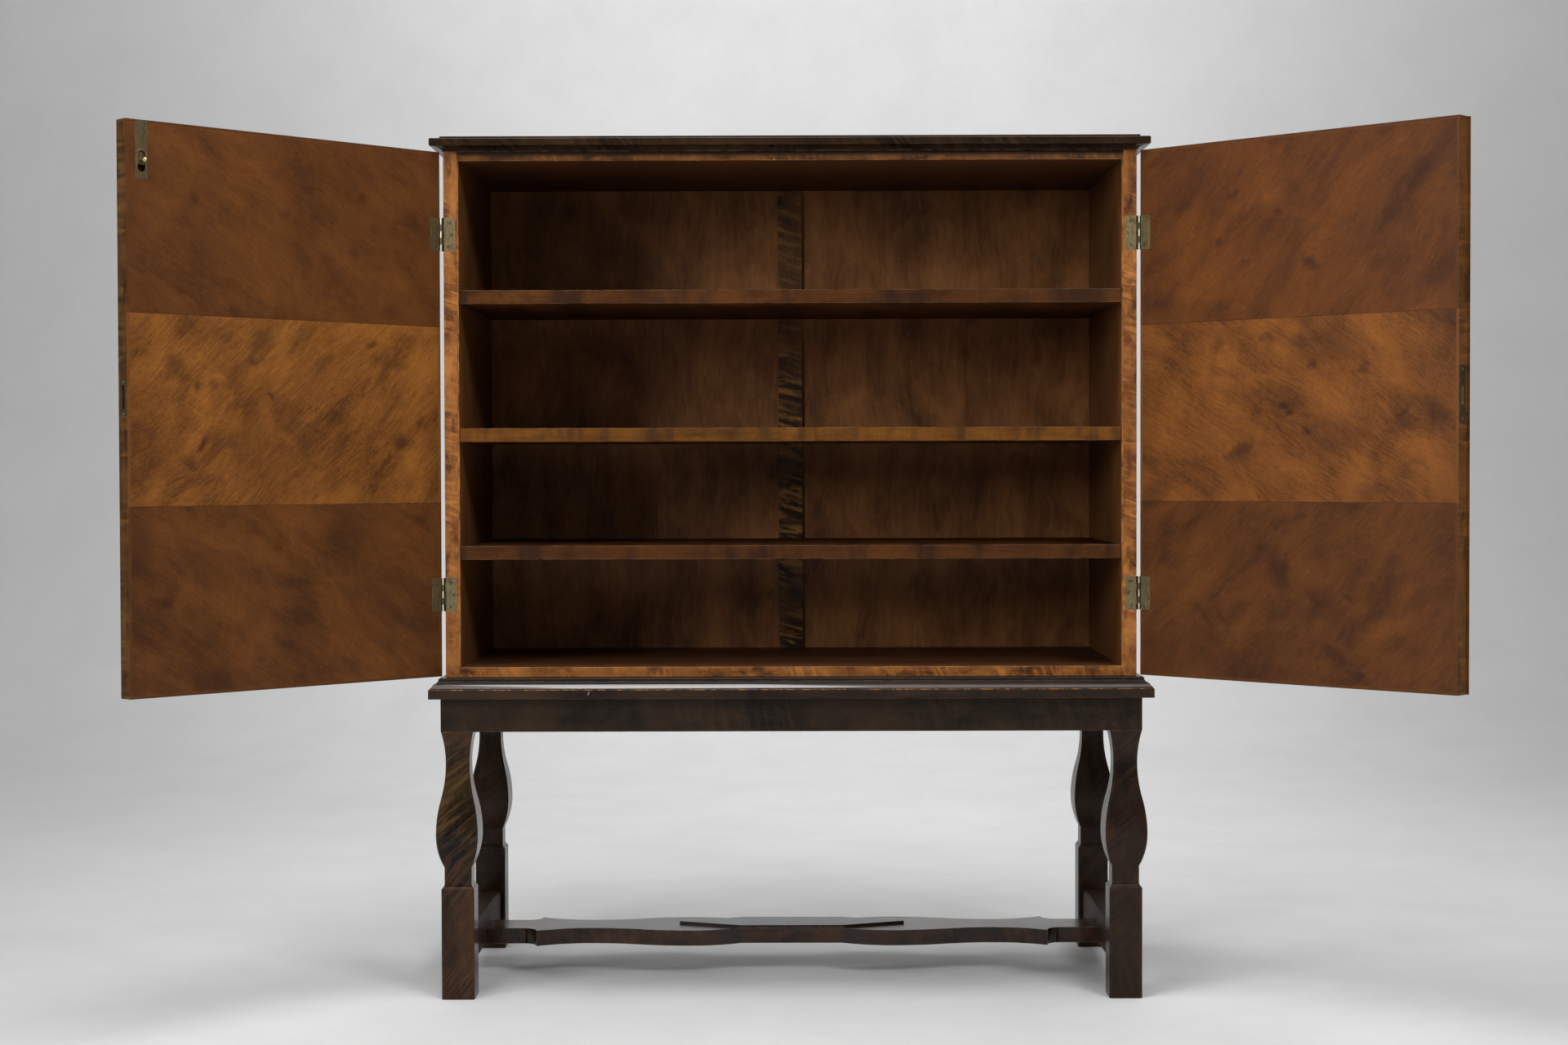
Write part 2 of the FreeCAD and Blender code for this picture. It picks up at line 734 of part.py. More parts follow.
case_waste = {-1: [], 1: []}
case_leaves = {-1: [], 1: []}
hinge_pins = []
for side, word in ((-1, "left"), (1, "right")):
    at = (side * axis_x, axis_y)
    for number, centre in enumerate(hinge_centres):
        name = f"{word}_case_leaf_{number}"
        case_leaves[side].append(hinge_leaf(name, at, -side, 1, centre, (0, 2, 4)))
        case_waste[side].append(leaf_recess(name + "_recess", at, -side, 1, centre))
        foot = (*at, centre - size.hinge_height / 2)
        pin = rod(f"{word}_pin_{number}", size.hinge_pin_radius, size.hinge_height, foot)
        hinge_pins.append(pin)
keep("left_case_hinge_leaves", group("left_case_hinge_leaves", case_leaves[-1]))
keep("right_case_hinge_leaves", group("right_case_hinge_leaves", case_leaves[1]))
keep("hinge_pins", group("hinge_pins", hinge_pins))

# Case boards
tongue_top = (top_inside_z + 4, top_inside_z + 4 + size.tongue_thickness)
tongue_bottom = (case_bottom_z + 4, case_bottom_z + 4 + size.tongue_thickness)
board_y = front_y + size.edging_depth
tongue_y = (board_y, inside_y)
levels = (0, *range(6, 14))
first_pin_z = case_bottom_z + size.pin_start
pin_levels = {level: first_pin_z + size.pin_pitch * level for level in levels}
shelf_levels = (("lower_shelf", 0), ("middle_shelf", 6), ("upper_shelf", 13))
case_z = (case_bottom_z, case_top_z)
rebate_z = (case_bottom_z + 7, case_top_z - 7)
edging_strips = []
for side, word in ((-1, "left"), (1, "right")):
    groove_x = on_side(side, inner_half - 1, inner_half + size.tongue_length)
    rebate_x = on_side(side, inner_half - 1, inner_half + size.rebate_depth)
    board_x = on_side(side, inner_half, case_half)
    waste = [
        box(word + "_top_groove", groove_x, tongue_y, tongue_top),
        box(word + "_bottom_groove", groove_x, tongue_y, tongue_bottom),
        box(word + "_rebate", rebate_x, (inside_y, back_y + 1), rebate_z),
    ]
    along = "+x" if side > 0 else "-x"
    for level, z in pin_levels.items():
        for column, y in (("front", size.pin_front), ("rear", size.pin_rear)):
            name = f"{word}_{column}_hole_{level}"
            start = (side * (inner_half - 1), front_y + y, z)
            waste.append(peg(name, size.pin_radius + 0.05, size.pin_depth + 1, start, along))
    blank = box(word + "_side_blank", board_x, (board_y, back_y), case_z)
    keep(word + "_side", cut(word + "_side", blank, [*waste, *case_waste[side]]))
    strip = box(word + "_edging_blank", board_x, (front_y, board_y), case_z)
    edging_strips.append(cut(word + "_edging", strip, case_waste[side]))

top_rebate = (top_inside_z - 1, top_inside_z + size.rebate_depth)
bottom_rebate = (bottom_inside_z - size.rebate_depth, bottom_inside_z + 1)
for name, low_z, high_z, tongue, rebate in (
    ("case_top", top_inside_z, case_top_z, tongue_top, top_rebate),
    ("case_bottom", case_bottom_z, bottom_inside_z, tongue_bottom, bottom_rebate),
):
    board = box(name + "_board", (-inner_half, inner_half), (board_y, back_y), (low_z, high_z))
    reach = inner_half + size.tongue_length
    tongues = box(name + "_tongues", (-reach, reach), tongue_y, tongue)
    blank = fuse(name + "_blank", [board, tongues])
    rebate_x = (-inner_half - 1, inner_half + 1)
    rebate_box = box(name + "_rebate", rebate_x, (inside_y, back_y + 1), rebate)
    keep(name, cut(name, blank, [rebate_box]))
    strip_x = (-inner_half, inner_half)
    edging_strips.append(box(name + "_edging", strip_x, (front_y, board_y), (low_z, high_z)))
keep("case_front_edgings", group("case_front_edgings", edging_strips))

# Back with two panels and a centre stile
stile_half = size.stile_width / 2
stile_front = inside_y - size.stile_proud
panel_low = bottom_inside_z - size.rebate_depth
panel_high = top_inside_z + size.rebate_depth
stile_x = (-stile_half, stile_half)
stile = box("stile_board", stile_x, (stile_front, back_y), (bottom_inside_z, top_inside_z))
ends = box("stile_ends", stile_x, (inside_y, back_y), (panel_low, panel_high))
blank = fuse("stile_blank", [stile, ends])
grooves = []
for side, word in ((-1, "left"), (1, "right")):
    near = stile_half - size.stile_groove
    groove_x = on_side(side, near, stile_half + 1)
    panel_x = on_side(side, near, inner_half + size.rebate_depth)
    panel_y = (inside_y, panel_back_y)
    groove = box(word + "_stile_groove", groove_x, panel_y, (panel_low - 1, panel_high + 1))
    grooves.append(groove)
    panel = box(word + "_back_panel", panel_x, panel_y, (panel_low, panel_high))
    keep(word + "_back_panel", panel)
keep("back_centre_stile", cut("back_centre_stile", blank, grooves))

# Shelves on pins that hide in stopped grooves
pins = []
for name, level in shelf_levels:
    z = pin_levels[level]
    reach = inner_half - size.shelf_play
    shelf_y = (front_y + size.shelf_setback, stile_front - 1)
    half = size.shelf_thickness / 2
    board = box(name + "_board", (-reach, reach), shelf_y, (z - half, z + half))
    grooves = []
    for side, word in ((-1, "left"), (1, "right")):
        tip = inner_half - size.pin_reach
        groove_x = on_side(side, tip - 0.5, reach + 1)
        groove_y = (front_y + size.pin_front - size.pin_radius - 0.2, shelf_y[1] + 1)
        groove_z = (z - size.pin_radius - 0.2, z + size.pin_radius + 0.02)
        grooves.append(box(f"{name}_{word}_groove", groove_x, groove_y, groove_z))
        for column, y in (("front", size.pin_front), ("rear", size.pin_rear)):
            along = "+x" if side > 0 else "-x"
            length = size.pin_reach + size.pin_depth - 1
            at = (side * tip, front_y + y, z)
            pins.append(peg(f"{name}_{word}_{column}_pin", size.pin_radius, length, at, along))
    keep(name, cut(name, board, grooves))
keep("shelf_pins", group("shelf_pins", pins))

# Doors, each drawn closed about its hinge axis and then swung open
free_u = axis_x - size.meeting_gap / 2
edge_u = size.hinge_offset
inner_v = size.door_gap / 2
outer_v = inner_v + size.door_thickness
open_angle = {-1: size.left_open_angle, 1: size.right_open_angle}


def hang(obj, side, lift=0):
    """Swing a finished door piece about its hinge axis."""
    obj.Placement = FreeCAD.Placement(FreeCAD.Vector(0, 0, 0), FreeCAD.Rotation(Z_AXIS, 10))
    bind(obj, "Placement.Base.x", side * axis_x)
    bind(obj, "Placement.Base.y", axis_y)
    bind(obj, "Placement.Base.z", lift)
    bind(obj, "Placement.Rotation.Angle", side * open_angle[side])
    return obj


def door_box(name, side, u, v, z):
    """A block in the plan of a closed door, u from the hinge axis and v towards the front."""
    x = (-as_size(u[1]), -as_size(u[0])) if side > 0 else u
    return box(name, x, (-as_size(v[1]), -as_size(v[0])), z)


def door_point(side, u, v, z):
    """A point in the plan of a closed door."""
    return (-side * as_size(u), -as_size(v), z)


door_waste = {-1: [], 1: []}
for side, word in ((-1, "left"), (1, "right")):
    leaves = []
    axis = (as_size(0), as_size(0))
    for number, centre in enumerate(hinge_centres):
        name = f"{word}_door_leaf_{number}"
        leaves.append(hinge_leaf(name, axis, -side, -1, centre, (1, 3)))
        door_waste[side].append(leaf_recess(name + "_recess", axis, -side, -1, centre))
    name = word + "_door_hinge_leaves"
    keep(name, hang(group(name, leaves), side))

# Flush bolt at the top of the left door, with a round-ended slot behind a raised rim
bolt_u = free_u - size.bolt_inset
plate_u = (bolt_u - 9, bolt_u + 9)
plate_bottom = door_top_z - 78.8
slot_z = (plate_bottom + 14, plate_bottom + 32)


def stadium(name, radius, v):
    """A round-ended block around the slot, from one depth of the door to another."""
    deep = as_size(v[1]) - v[0]
    ends = []
    for number, z in enumerate(slot_z):
        start = door_point(-1, bolt_u, v[0], z)
        ends.append(rod(f"{name}_end_{number}", radius, deep, start, "-y"))
    middle = door_box(name + "_middle", -1, (bolt_u - radius, bolt_u + radius), v, slot_z)
    return fuse(name, [middle, *ends])


plate_face = door_box("bolt_plate_face", -1, plate_u, (inner_v, inner_v + 2), (plate_bottom, door_top_z))
lip = door_box("bolt_plate_lip", -1, plate_u, (inner_v, inner_v + 12), (door_top_z - 2, door_top_z))
rim = stadium("bolt_plate_rim", 7, (inner_v - 0.8, inner_v + 1))
slot = stadium("bolt_plate_slot", 5.8, (inner_v - 1, inner_v + 3))
hole_start = door_point(-1, bolt_u, bolt_v, door_top_z - 5)
rod_hole = rod("bolt_rod_hole", size.bolt_radius + 0.08, 10, hole_start)
plate = cut("door_bolt_plate", fuse("bolt_plate_blank", [plate_face, lip, rim]), [slot, rod_hole])
keep("door_bolt_plate", hang(plate, -1))
rod_z = (door_top_z - 60, door_top_z - 2)
rod_start = door_point(-1, bolt_u, bolt_v, rod_z[0])
bolt_rod = rod("bolt_rod_bar", size.bolt_radius, rod_z[1] - rod_z[0], rod_start)
nose_start = door_point(-1, bolt_u, bolt_v, rod_z[1])
bolt_nose = cone("bolt_rod_nose", size.bolt_radius, size.bolt_radius - 1.2, 1.5, nose_start)
slider_v = inner_v + 2.2
slider_z = (rod_z[0], slot_z[1] + 9)
slider = door_box(
    "bolt_rod_slider", -1, (bolt_u - 6, bolt_u + 6), (slider_v, slider_v + 2.2), slider_z
)
keep("door_bolt_rod", hang(fuse("door_bolt_rod", [bolt_rod, bolt_nose, slider]), -1))
knob_z = door_top_z - 55
knob_v = inner_v - 9
stem_start = door_point(-1, bolt_u, knob_v, knob_z)
stem = rod("knob_stem", 2, slider_v - knob_v, stem_start, "-y")
crown_start = door_point(-1, bolt_u, knob_v + 2.6, knob_z)
collar = cone("knob_collar", 2.2, 3.9, 2.4, crown_start, "+y")
crown = cone("knob_crown", 3.9, 2.4, 3.2, door_point(-1, bolt_u, knob_v + 0.2, knob_z), "+y")
keep("door_bolt_knob", hang(fuse("door_bolt_knob", [stem, collar, crown]), -1))
channel_z = (plate_bottom + 5, door_top_z + 1)
slider_room = (plate_bottom + 5, slider_z[1] + size.bolt_travel + 2)
door_waste[-1] += [
    door_box("bolt_face_recess", -1, plate_u, (inner_v - 1, inner_v + 2), (plate_bottom, door_top_z + 1)),
    door_box("bolt_lip_recess", -1, plate_u, (inner_v - 1, inner_v + 12), (door_top_z - 2, door_top_z + 1)),
    door_box("bolt_channel", -1, (bolt_u - 4, bolt_u + 4), (inner_v, bolt_v + 4), channel_z),
    door_box("slider_room", -1, (bolt_u - 6.3, bolt_u + 6.3), (inner_v, bolt_v + 4), slider_room),
]

# Lock in the right door and its strike plate in the left one
lock_z = size.lock_height
lock_v = inner_v + 10.5
bolt_low, bolt_high = lock_z - 13.5, lock_z + 11.8
case_u = (free_u - 38.5, free_u - 2.5)
case_v = (lock_v - 6, lock_v + 6)
case_body_z = (lock_z - 30, lock_z + 30)
lock_blank = door_box("lock_case_blank", 1, case_u, case_v, case_body_z)
room_u = (free_u - 36, free_u + 5)
room_v = (lock_v - 3.1, lock_v + 3.1)
room_z = (bolt_low - 0.1, bolt_high + 0.1)
bolt_room = door_box("lock_bolt_room", 1, room_u, room_v, room_z)
key_z = (lock_z - 26, lock_z - 18)
key_u = (free_u - 23.1, free_u - 20.9)
key_v = lock_v + 1
key_start = door_point(1, free_u - 22, key_v, key_z[1])
keyhole = [
    rod("keyhole_round", 2.6, 8, key_start, "-y"),
    door_box("keyhole_slot", 1, key_u, (key_v, key_v + 8), key_z),
]
keyway = [
    rod("keyway_round", 2.6, 20, key_start, "-y"),
    door_box("keyway_slot", 1, key_u, (key_v, key_v + 20), key_z),
]
keep("lock_case", hang(cut("lock_case", lock_blank, [bolt_room, *keyhole]), 1))
forend_v = (lock_v - 8, lock_v + 8)
forend_z = (lock_z - 40, lock_z + 40)
forend = door_box("lock_forend_blank", 1, (free_u - 2.5, free_u), forend_v, forend_z)
keep("lock_forend", hang(cut("lock_forend", forend, [bolt_room]), 1))
bolt_v_range = (lock_v - 3, lock_v + 3)
bolt = door_box("lock_bolt_bar", 1, (free_u - 32, free_u), bolt_v_range, (bolt_low, bolt_high))
keep("lock_bolt", hang(group("lock_bolt", [bolt]), 1))
door_waste[1] += [
    door_box("lock_case_mortise", 1, (case_u[0], free_u + 1), case_v, case_body_z),
    door_box("lock_forend_recess", 1, (free_u - 2.5, free_u + 1), forend_v, forend_z),
    *keyway,
]

strike_z = (lock_z - 25.5, lock_z + 24.5)
strike = door_box("strike_blank", -1, (free_u - 1.5, free_u), forend_v, strike_z)
slot_u = (free_u - 10.5, free_u + 1)
slot_v = (lock_v - 3.2, lock_v + 3.2)
strike_slot = door_box("strike_slot", -1, slot_u, slot_v, (lock_z - 15, lock_z + 17))
keep("strike_plate", hang(cut("strike_plate", strike, [strike_slot]), -1))
door_waste[-1] += [
    door_box("strike_recess", -1, (free_u - 1.5, free_u + 1), forend_v, strike_z),
    strike_slot,
]

# Door panels with edging on all four edges
for side, word in ((-1, "left"), (1, "right")):
    lip = size.door_edging
    v = (inner_v, outer_v)
    across = (edge_u + lip, free_u - lip)
    up = (door_bottom_z + lip, door_top_z - lip)
    panel = door_box(word + "_panel_blank", side, across, v, up)
    name = word + "_door_panel"
    keep(name, hang(cut(name, panel, door_waste[side]), side))
    strips = [
        door_box(word + "_hinge_strip", side, (edge_u, edge_u + lip), v, (door_bottom_z, door_top_z)),
        door_box(word + "_free_strip", side, (free_u - lip, free_u), v, (door_bottom_z, door_top_z)),
        door_box(word + "_top_strip", side, across, v, (door_top_z - lip, door_top_z)),
        door_box(word + "_bottom_strip", side, across, v, (door_bottom_z, door_bottom_z + lip)),
    ]
    trimmed = []
    for number, strip in enumerate(strips[:3]):
        trimmed.append(cut(f"{word}_strip_{number}", strip, door_waste[side]))
    name = word + "_door_edgings"
    keep(name, hang(group(name, [*trimmed, strips[3]]), side))

# Meeting strip with eased arrises on the right door
body = doc.addObject("PartDesign::Body", "meeting_strip")
strip_low = free_u + size.strip_reach - size.strip_width
strip_high = free_u + size.strip_reach
strip_out = outer_v + size.strip_thickness
section = [
    (strip_low, outer_v + 0.02),
    (free_u, outer_v + 0.02),
    (free_u, outer_v + 0.4),
    (strip_high, outer_v + 0.4),
    (strip_high, strip_out - 1.5, 1.5, "left"),
    (strip_high - 1.5, strip_out),
    (strip_low + 1.5, strip_out, 1.5, "left"),
    (strip_low, strip_out - 1.5),
]
section = [(-as_size(u), -as_size(v), *arc) for u, v, *arc in section]
plan = outline(body, "meeting_section", "XY_Plane", section)
pad(body, "meeting_run", plan, door_top_z - door_bottom_z)
keep("meeting_strip", hang(body, 1, door_bottom_z))

doc.recompute()

# Every object has to be sound before a file is written
for obj in doc.Objects:
    if "Invalid" in obj.State or "Error" in obj.State:
        raise RuntimeError(f"{obj.Name}: {obj.State}")
for name, obj in pieces.items():
    shape = obj.Shape
    if shape.isNull() or not shape.isValid() or not shape.Solids:
        raise RuntimeError(f"{name}: the shape is not sound")
for name, obj in pieces.items():
    obj.Shape.exportStep(f"parts/{name}.step")
solids = sum(len(obj.Shape.Solids) for obj in pieces.values())
print(len(pieces), "pieces,", solids, "solids")
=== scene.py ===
import json
import math

import bmesh
import bpy
from mathutils import Matrix, Vector


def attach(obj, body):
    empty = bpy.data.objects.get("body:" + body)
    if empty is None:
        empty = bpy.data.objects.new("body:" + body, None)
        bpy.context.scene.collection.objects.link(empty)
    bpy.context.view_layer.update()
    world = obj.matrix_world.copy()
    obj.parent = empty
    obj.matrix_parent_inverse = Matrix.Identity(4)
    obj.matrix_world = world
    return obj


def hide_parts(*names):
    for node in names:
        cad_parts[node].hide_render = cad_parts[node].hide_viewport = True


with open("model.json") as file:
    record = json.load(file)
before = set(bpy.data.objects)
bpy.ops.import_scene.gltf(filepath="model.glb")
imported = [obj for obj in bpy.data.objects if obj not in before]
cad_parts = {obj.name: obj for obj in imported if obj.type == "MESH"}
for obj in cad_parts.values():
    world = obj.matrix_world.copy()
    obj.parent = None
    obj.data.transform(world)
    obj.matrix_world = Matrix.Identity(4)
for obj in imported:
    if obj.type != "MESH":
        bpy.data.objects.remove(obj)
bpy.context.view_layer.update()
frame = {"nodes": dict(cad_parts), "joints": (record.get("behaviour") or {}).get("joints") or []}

# Places on the cabinet, in metres
HINGE_AXIS_X = 0.5193
HINGE_AXIS_Y = -0.0295
HINGE_HEIGHTS = (0.6035, 1.1405)
CASE_FRONT_Y = -0.029
LEAF_SCREWS = ((0.0178, 0.0116), (0.0, 0.0151), (-0.0178, 0.0106))
FREE_EDGE = 0.51855
INNER_FACE = 0.0005
SEAMS = (0.741, 1.003)
DOOR_MIDDLE = 0.262
EDGING_ENDS = (0.4853, 1.2587)
EDGING_INNER_Y = -0.0008
BOLT_X = FREE_EDGE - 0.024
BOLT_SCREWS = ((-0.0063, 1.252), (0.0063, 1.252), (0.0, 1.1879))
EDGE_SCREWS = {"left": (0.9092, 0.8663), "right": (0.9223, 0.8553)}
LOCK_DEPTH = 0.011
KNOB_SEAT = 0.009
KNOB_HEIGHT = 1.2078
LEG_MIDDLE_X = 0.497
BACK_MIDDLE_Y = 0.374
POST_X = 0.4965
RAIL_BOTTOM = 1.24

# Sizes of the screw heads: radius and slot, then how far the head, its cheeks and the whole are moved
LEAF_SCREW = (0.0028, 0.0007)
SMALL_SCREW = (0.0019, 0.0005)
HEAD_LIFT, CHEEK_LIFT, HEAD_SINK = 0.0006, 0.0004, 0.0008

# Where a look fades in and out, as the two ends of each fade, and the two levels where they aren't 0 and 1
LEG_FLAME = ((0.195, 0.25), (0.41, 0.33, 0.3, 1.0))
FOOT_FLAME = (0.185, 0.22)
MOULDING_SLOPE = ((0.4650, 0.4660), (0.4716, 0.4708))
MOULDING_ARRIS = ((0.4626, 0.4632), (0.4644, 0.4638))
# Band above the moulding's slope where painted shade fades in
MOULDING_PAINTED_SHADE = (0.4712, 0.4722)
RAIL_PAINTED_SHADE = (1.2535, 1.2620, 0.5, 1.0)
KNUCKLE_SHADE_FADE = (0.0042, 0.0034)

# The photograph's camera, and the paper behind the cabinet
CAMERA_PLACE = Vector((0.0001, -3.6382, 0.7876))
CAMERA_TURN = {"yaw": -0.0028, "pitch": 0.0215, "roll": -0.0028}
FOCAL_RATIO = 2959.5 / 1920
SENSOR_WIDTH = 36.0
SHEET_HALF_WIDTH = 9.0

HINGES = [joint for joint in frame["joints"] if "range_deg" in joint]
ANGLES = {joint["name"]: math.radians(-joint["range_deg"][0]) for joint in HINGES}
DOOR_ANGLE = {"left": -ANGLES["left_door_hinge"], "right": ANGLES["right_door_hinge"]}
DOOR_SIDE = {"left": -1, "right": 1}


def tone(red, green, blue):
    """A colour from its screen values."""
    channels = []
    for value in (red, green, blue):
        value /= 255
        channels.append(value / 12.92 if value <= 0.04045 else ((value + 0.055) / 1.055) ** 2.4)
    return (*channels, 1.0)


class Tree:
    """A small helper that adds and joins shader nodes."""

    def __init__(self, tree):
        self.tree = tree

    def node(self, kind, **settings):
        made = self.tree.nodes.new(kind)
        for name, value in settings.items():
            setattr(made, name, value)
        return made

    def feed(self, socket, value):
        if isinstance(value, bpy.types.NodeSocket):
            self.tree.links.new(value, socket)
        else:
            socket.default_value = value

    def feed_all(self, made, values):
        for socket, value in zip(made.inputs, values):
            self.feed(socket, value)

    def math(self, operation, first, second=0.0, clamp=False):
        made = self.node("ShaderNodeMath", operation=operation, use_clamp=clamp)
        self.feed_all(made, (first, second))
        return made.outputs[0]

    def add(self, first, second):
        return self.math("ADD", first, second)

    def subtract(self, first, second):
        return self.math("SUBTRACT", first, second)

    def multiply(self, first, second):
        return self.math("MULTIPLY", first, second)

    def larger(self, first, second):
        return self.math("MAXIMUM", first, second)

    def absolute(self, value):
        return self.math("ABSOLUTE", value)

    def above(self, value, limit):
        """One above a limit and zero below it."""
        return self.math("GREATER_THAN", value, limit)

    def below(self, value, limit):
        """One below a limit and zero above it."""
        return self.math("LESS_THAN", value, limit)

    def swing(self, noise, amount):
        """A noise turned into a change around zero, as large as an amount."""
        return self.multiply(self.subtract(noise, 0.5), amount)

    def span(self, value, low, high, out_low=0.0, out_high=1.0):
        """A value mapped smoothly from one span to another."""
        made = self.node("ShaderNodeMapRange", interpolation_type="SMOOTHSTEP")
        self.feed_all(made, (value, low, high, out_low, out_high))
        return made.outputs[0]

    def between(self, value, rise, fall):
        """One between a rise and a fall, and zero beyond them."""
        return self.multiply(self.span(value, *rise), self.span(value, *fall))

    def blend(self, factor, first, second, mode="MIX"):
        made = self.node("ShaderNodeMix", data_type="RGBA", blend_type=mode)
        made.clamp_factor = True
        self.feed(made.inputs[0], factor)
        self.feed(made.inputs[6], first)
        self.feed(made.inputs[7], second)
        return made.outputs[2]

    def combine(self, x, y, z):
        made = self.node("ShaderNodeCombineXYZ")
        self.feed_all(made, (x, y, z))
        return made.outputs[0]

    def split(self, vector):
        made = self.node("ShaderNodeSeparateXYZ")
        self.feed(made.inputs[0], vector)
        return made.outputs

    def noise(self, vector, scale, detail=3.0, roughness=0.5, distortion=0.0, result="Fac"):
        made = self.node("ShaderNodeTexNoise")
        self.feed(made.inputs["Vector"], vector)
        self.feed(made.inputs["Scale"], scale)
        self.feed(made.inputs["Detail"], detail)
        self.feed(made.inputs["Roughness"], roughness)
        self.feed(made.inputs["Distortion"], distortion)
        return made.outputs[result]

    def vector_math(self, operation, *values, result="Vector"):
        made = self.node("ShaderNodeVectorMath", operation=operation)
        self.feed_all(made, values)
        return made.outputs[result]

    def length(self, vector):
        return self.vector_math("LENGTH", vector, result="Value")

    def scaled(self, vector, x, y, z):
        return self.vector_math("MULTIPLY", vector, (x, y, z))

    def place(self):
        """Object coordinates as they are, which are those of the cabinet."""
        return self.node("ShaderNodeTexCoord").outputs["Object"]

    def object_place(self, at=(0, 0, 0), turn=(0, 0, 0)):
        """Object coordinates seen from a place and a turn on the cabinet."""
        source = self.place()
        made = self.node("ShaderNodeMapping", vector_type="TEXTURE")
        self.feed(made.inputs["Vector"], source)
        made.inputs["Location"].default_value = at
        made.inputs["Rotation"].default_value = turn
        return made.outputs[0]


def effect(name, inputs, outputs, build):
    """A shader group with named inputs and outputs, built once."""
    group = bpy.data.node_groups.new(name, "ShaderNodeTree")
    kinds = {"value": "NodeSocketFloat", "colour": "NodeSocketColor", "vector": "NodeSocketVector"}
    for label, kind, default in inputs:
        socket = group.interface.new_socket(label, in_out="INPUT", socket_type=kinds[kind])
        socket.default_value = default
    for label, kind in outputs:
        group.interface.new_socket(label, in_out="OUTPUT", socket_type=kinds[kind])
    tree = Tree(group)
    given = tree.node("NodeGroupInput").outputs
    results = build(tree, given)
    out = tree.node("NodeGroupOutput")
    for label, result in results.items():
        tree.feed(out.inputs[label], result)
    return group


def use(tree, group, **values):
    """Place an effect in a material with its own values."""
    made = tree.node("ShaderNodeGroup", node_tree=group)
    for label, value in values.items():
        tree.feed(made.inputs[label.replace("_", " ")], value)
    return made.outputs


def build_wood(tree, given):
    """Grain, vessels, curl, clouds and knots on a vector whose x runs along the grain."""
    given_vector = given["Vector"]
    swirl = tree.noise(given_vector, 6.5, 2.0, result="Color")
    shift = tree.vector_math("SUBTRACT", swirl, (0.5, 0.5, 0.5))
    warp = tree.vector_math("MULTIPLY", shift, given["Swirl"])
    vector = tree.vector_math("ADD", given_vector, warp)
    x, y, z = tree.split(vector)
    streaks = tree.noise(tree.scaled(vector, 8.0, 170.0, 170.0), given["Fineness"], 4.0, 0.62)
    bands = tree.noise(tree.scaled(vector, 3.0, 26.0, 26.0), 1.0, 3.0, 0.55)
    vessels = tree.noise(tree.scaled(vector, 50.0, 900.0, 900.0), 1.0, 2.0, 0.5)
    vessel_mask = tree.span(vessels, 0.60, 0.74)
    clouds = tree.noise(tree.scaled(given_vector, 8.0, 13.0, 13.0), 1.0, 5.0, 0.6, 0.5)
    patches = tree.span(tree.noise(tree.scaled(vector, 7.0, 16.0, 16.0), 1.3, 5.0, 0.66, 0.3), 0.50, 0.72)
    curl_vector = tree.combine(tree.add(x, tree.multiply(y, given["Curl Slope"])), y, z)
    curl = tree.noise(tree.scaled(curl_vector, 95.0, 15.0, 15.0), given["Curl Pitch"], 3.0, 0.55, 0.7)
    curl_mask = tree.span(curl, 0.42, 0.68)
    where = tree.span(tree.noise(tree.scaled(given_vector, 9.0, 9.0, 9.0), 1.0, 2.0), 0.42, 0.60, 0.25, 1.0)
    curl_mask = tree.multiply(tree.subtract(curl_mask, 0.4), where)
    grain = tree.noise(tree.scaled(vector, 330.0, 1100.0, 1100.0), 1.0, 3.0, 0.7)
    shade = tree.add(tree.swing(streaks, given["Streaks"]), tree.swing(bands, given["Bands"]))
    shade = tree.add(shade, tree.swing(clouds, given["Clouds"]))
    shade = tree.add(shade, tree.multiply(curl_mask, given["Curl"]))
    shade = tree.add(shade, tree.swing(grain, given["Grain"]))
    level = tree.math("ADD", shade, 0.5, clamp=True)
    colour = tree.blend(level, given["Dark"], given["Light"])
    colour = tree.blend(tree.multiply(patches, given["Patches"]), colour, given["Deep"])
    colour = tree.blend(tree.multiply(vessel_mask, given["Vessels"]), colour, given["Deep"])
    height = tree.subtract(tree.multiply(streaks, 0.6), tree.multiply(vessel_mask, 0.8))
    gloss = tree.add(tree.multiply(clouds, 0.10), tree.multiply(vessel_mask, 0.08))
    return {"Color": colour, "Height": height, "Dullness": gloss}


WOOD_INPUTS = (
    ("Vector", "vector", (0.0, 0.0, 0.0)),
    ("Light", "colour", tone(150, 92, 42)),
    ("Dark", "colour", tone(90, 50, 22)),
    ("Deep", "colour", tone(50, 26, 12)),
    ("Streaks", "value", 0.8),
    ("Bands", "value", 0.6),
    ("Clouds", "value", 0.6),
    ("Curl", "value", 0.0),
    ("Curl Slope", "value", 0.6),
    ("Curl Pitch", "value", 1.0),
    ("Patches", "value", 0.0),
    ("Vessels", "value", 0.4),
    ("Fineness", "value", 1.0),
    ("Grain", "value", 1.2),
    ("Swirl", "value", 0.01),
)
WOOD_OUTPUTS = (("Color", "colour"), ("Height", "value"), ("Dullness", "value"))


def build_arris_wear_and_highlight(tree, given):
    """Arrises rubbed lighter, found from the turn of the surface at an edge; where strong, as on the side
    stretchers, the lighter arris is also a painted highlight.
    """
    bevel = tree.node("ShaderNodeBevel", samples=6)
    tree.feed(bevel.inputs["Radius"], given["Width"])
    geometry = tree.node("ShaderNodeNewGeometry").outputs
    turn = tree.vector_math("DOT_PRODUCT", bevel.outputs[0], geometry["Normal"], result="Value")
    edge = tree.span(turn, 0.985, 0.80)
    place = tree.place()
    broken = tree.noise(place, 38.0, 4.0, 0.65)
    fine = tree.noise(place, 420.0, 3.0, 0.6)
    patches = tree.span(tree.add(broken, tree.multiply(fine, 0.35)), 0.56, 0.80)
    mask = tree.math("MULTIPLY", tree.multiply(edge, patches), given["Amount"], clamp=True)
    colour = tree.blend(mask, given["Color"], given["Worn"])
    return {"Color": colour, "Mask": mask}


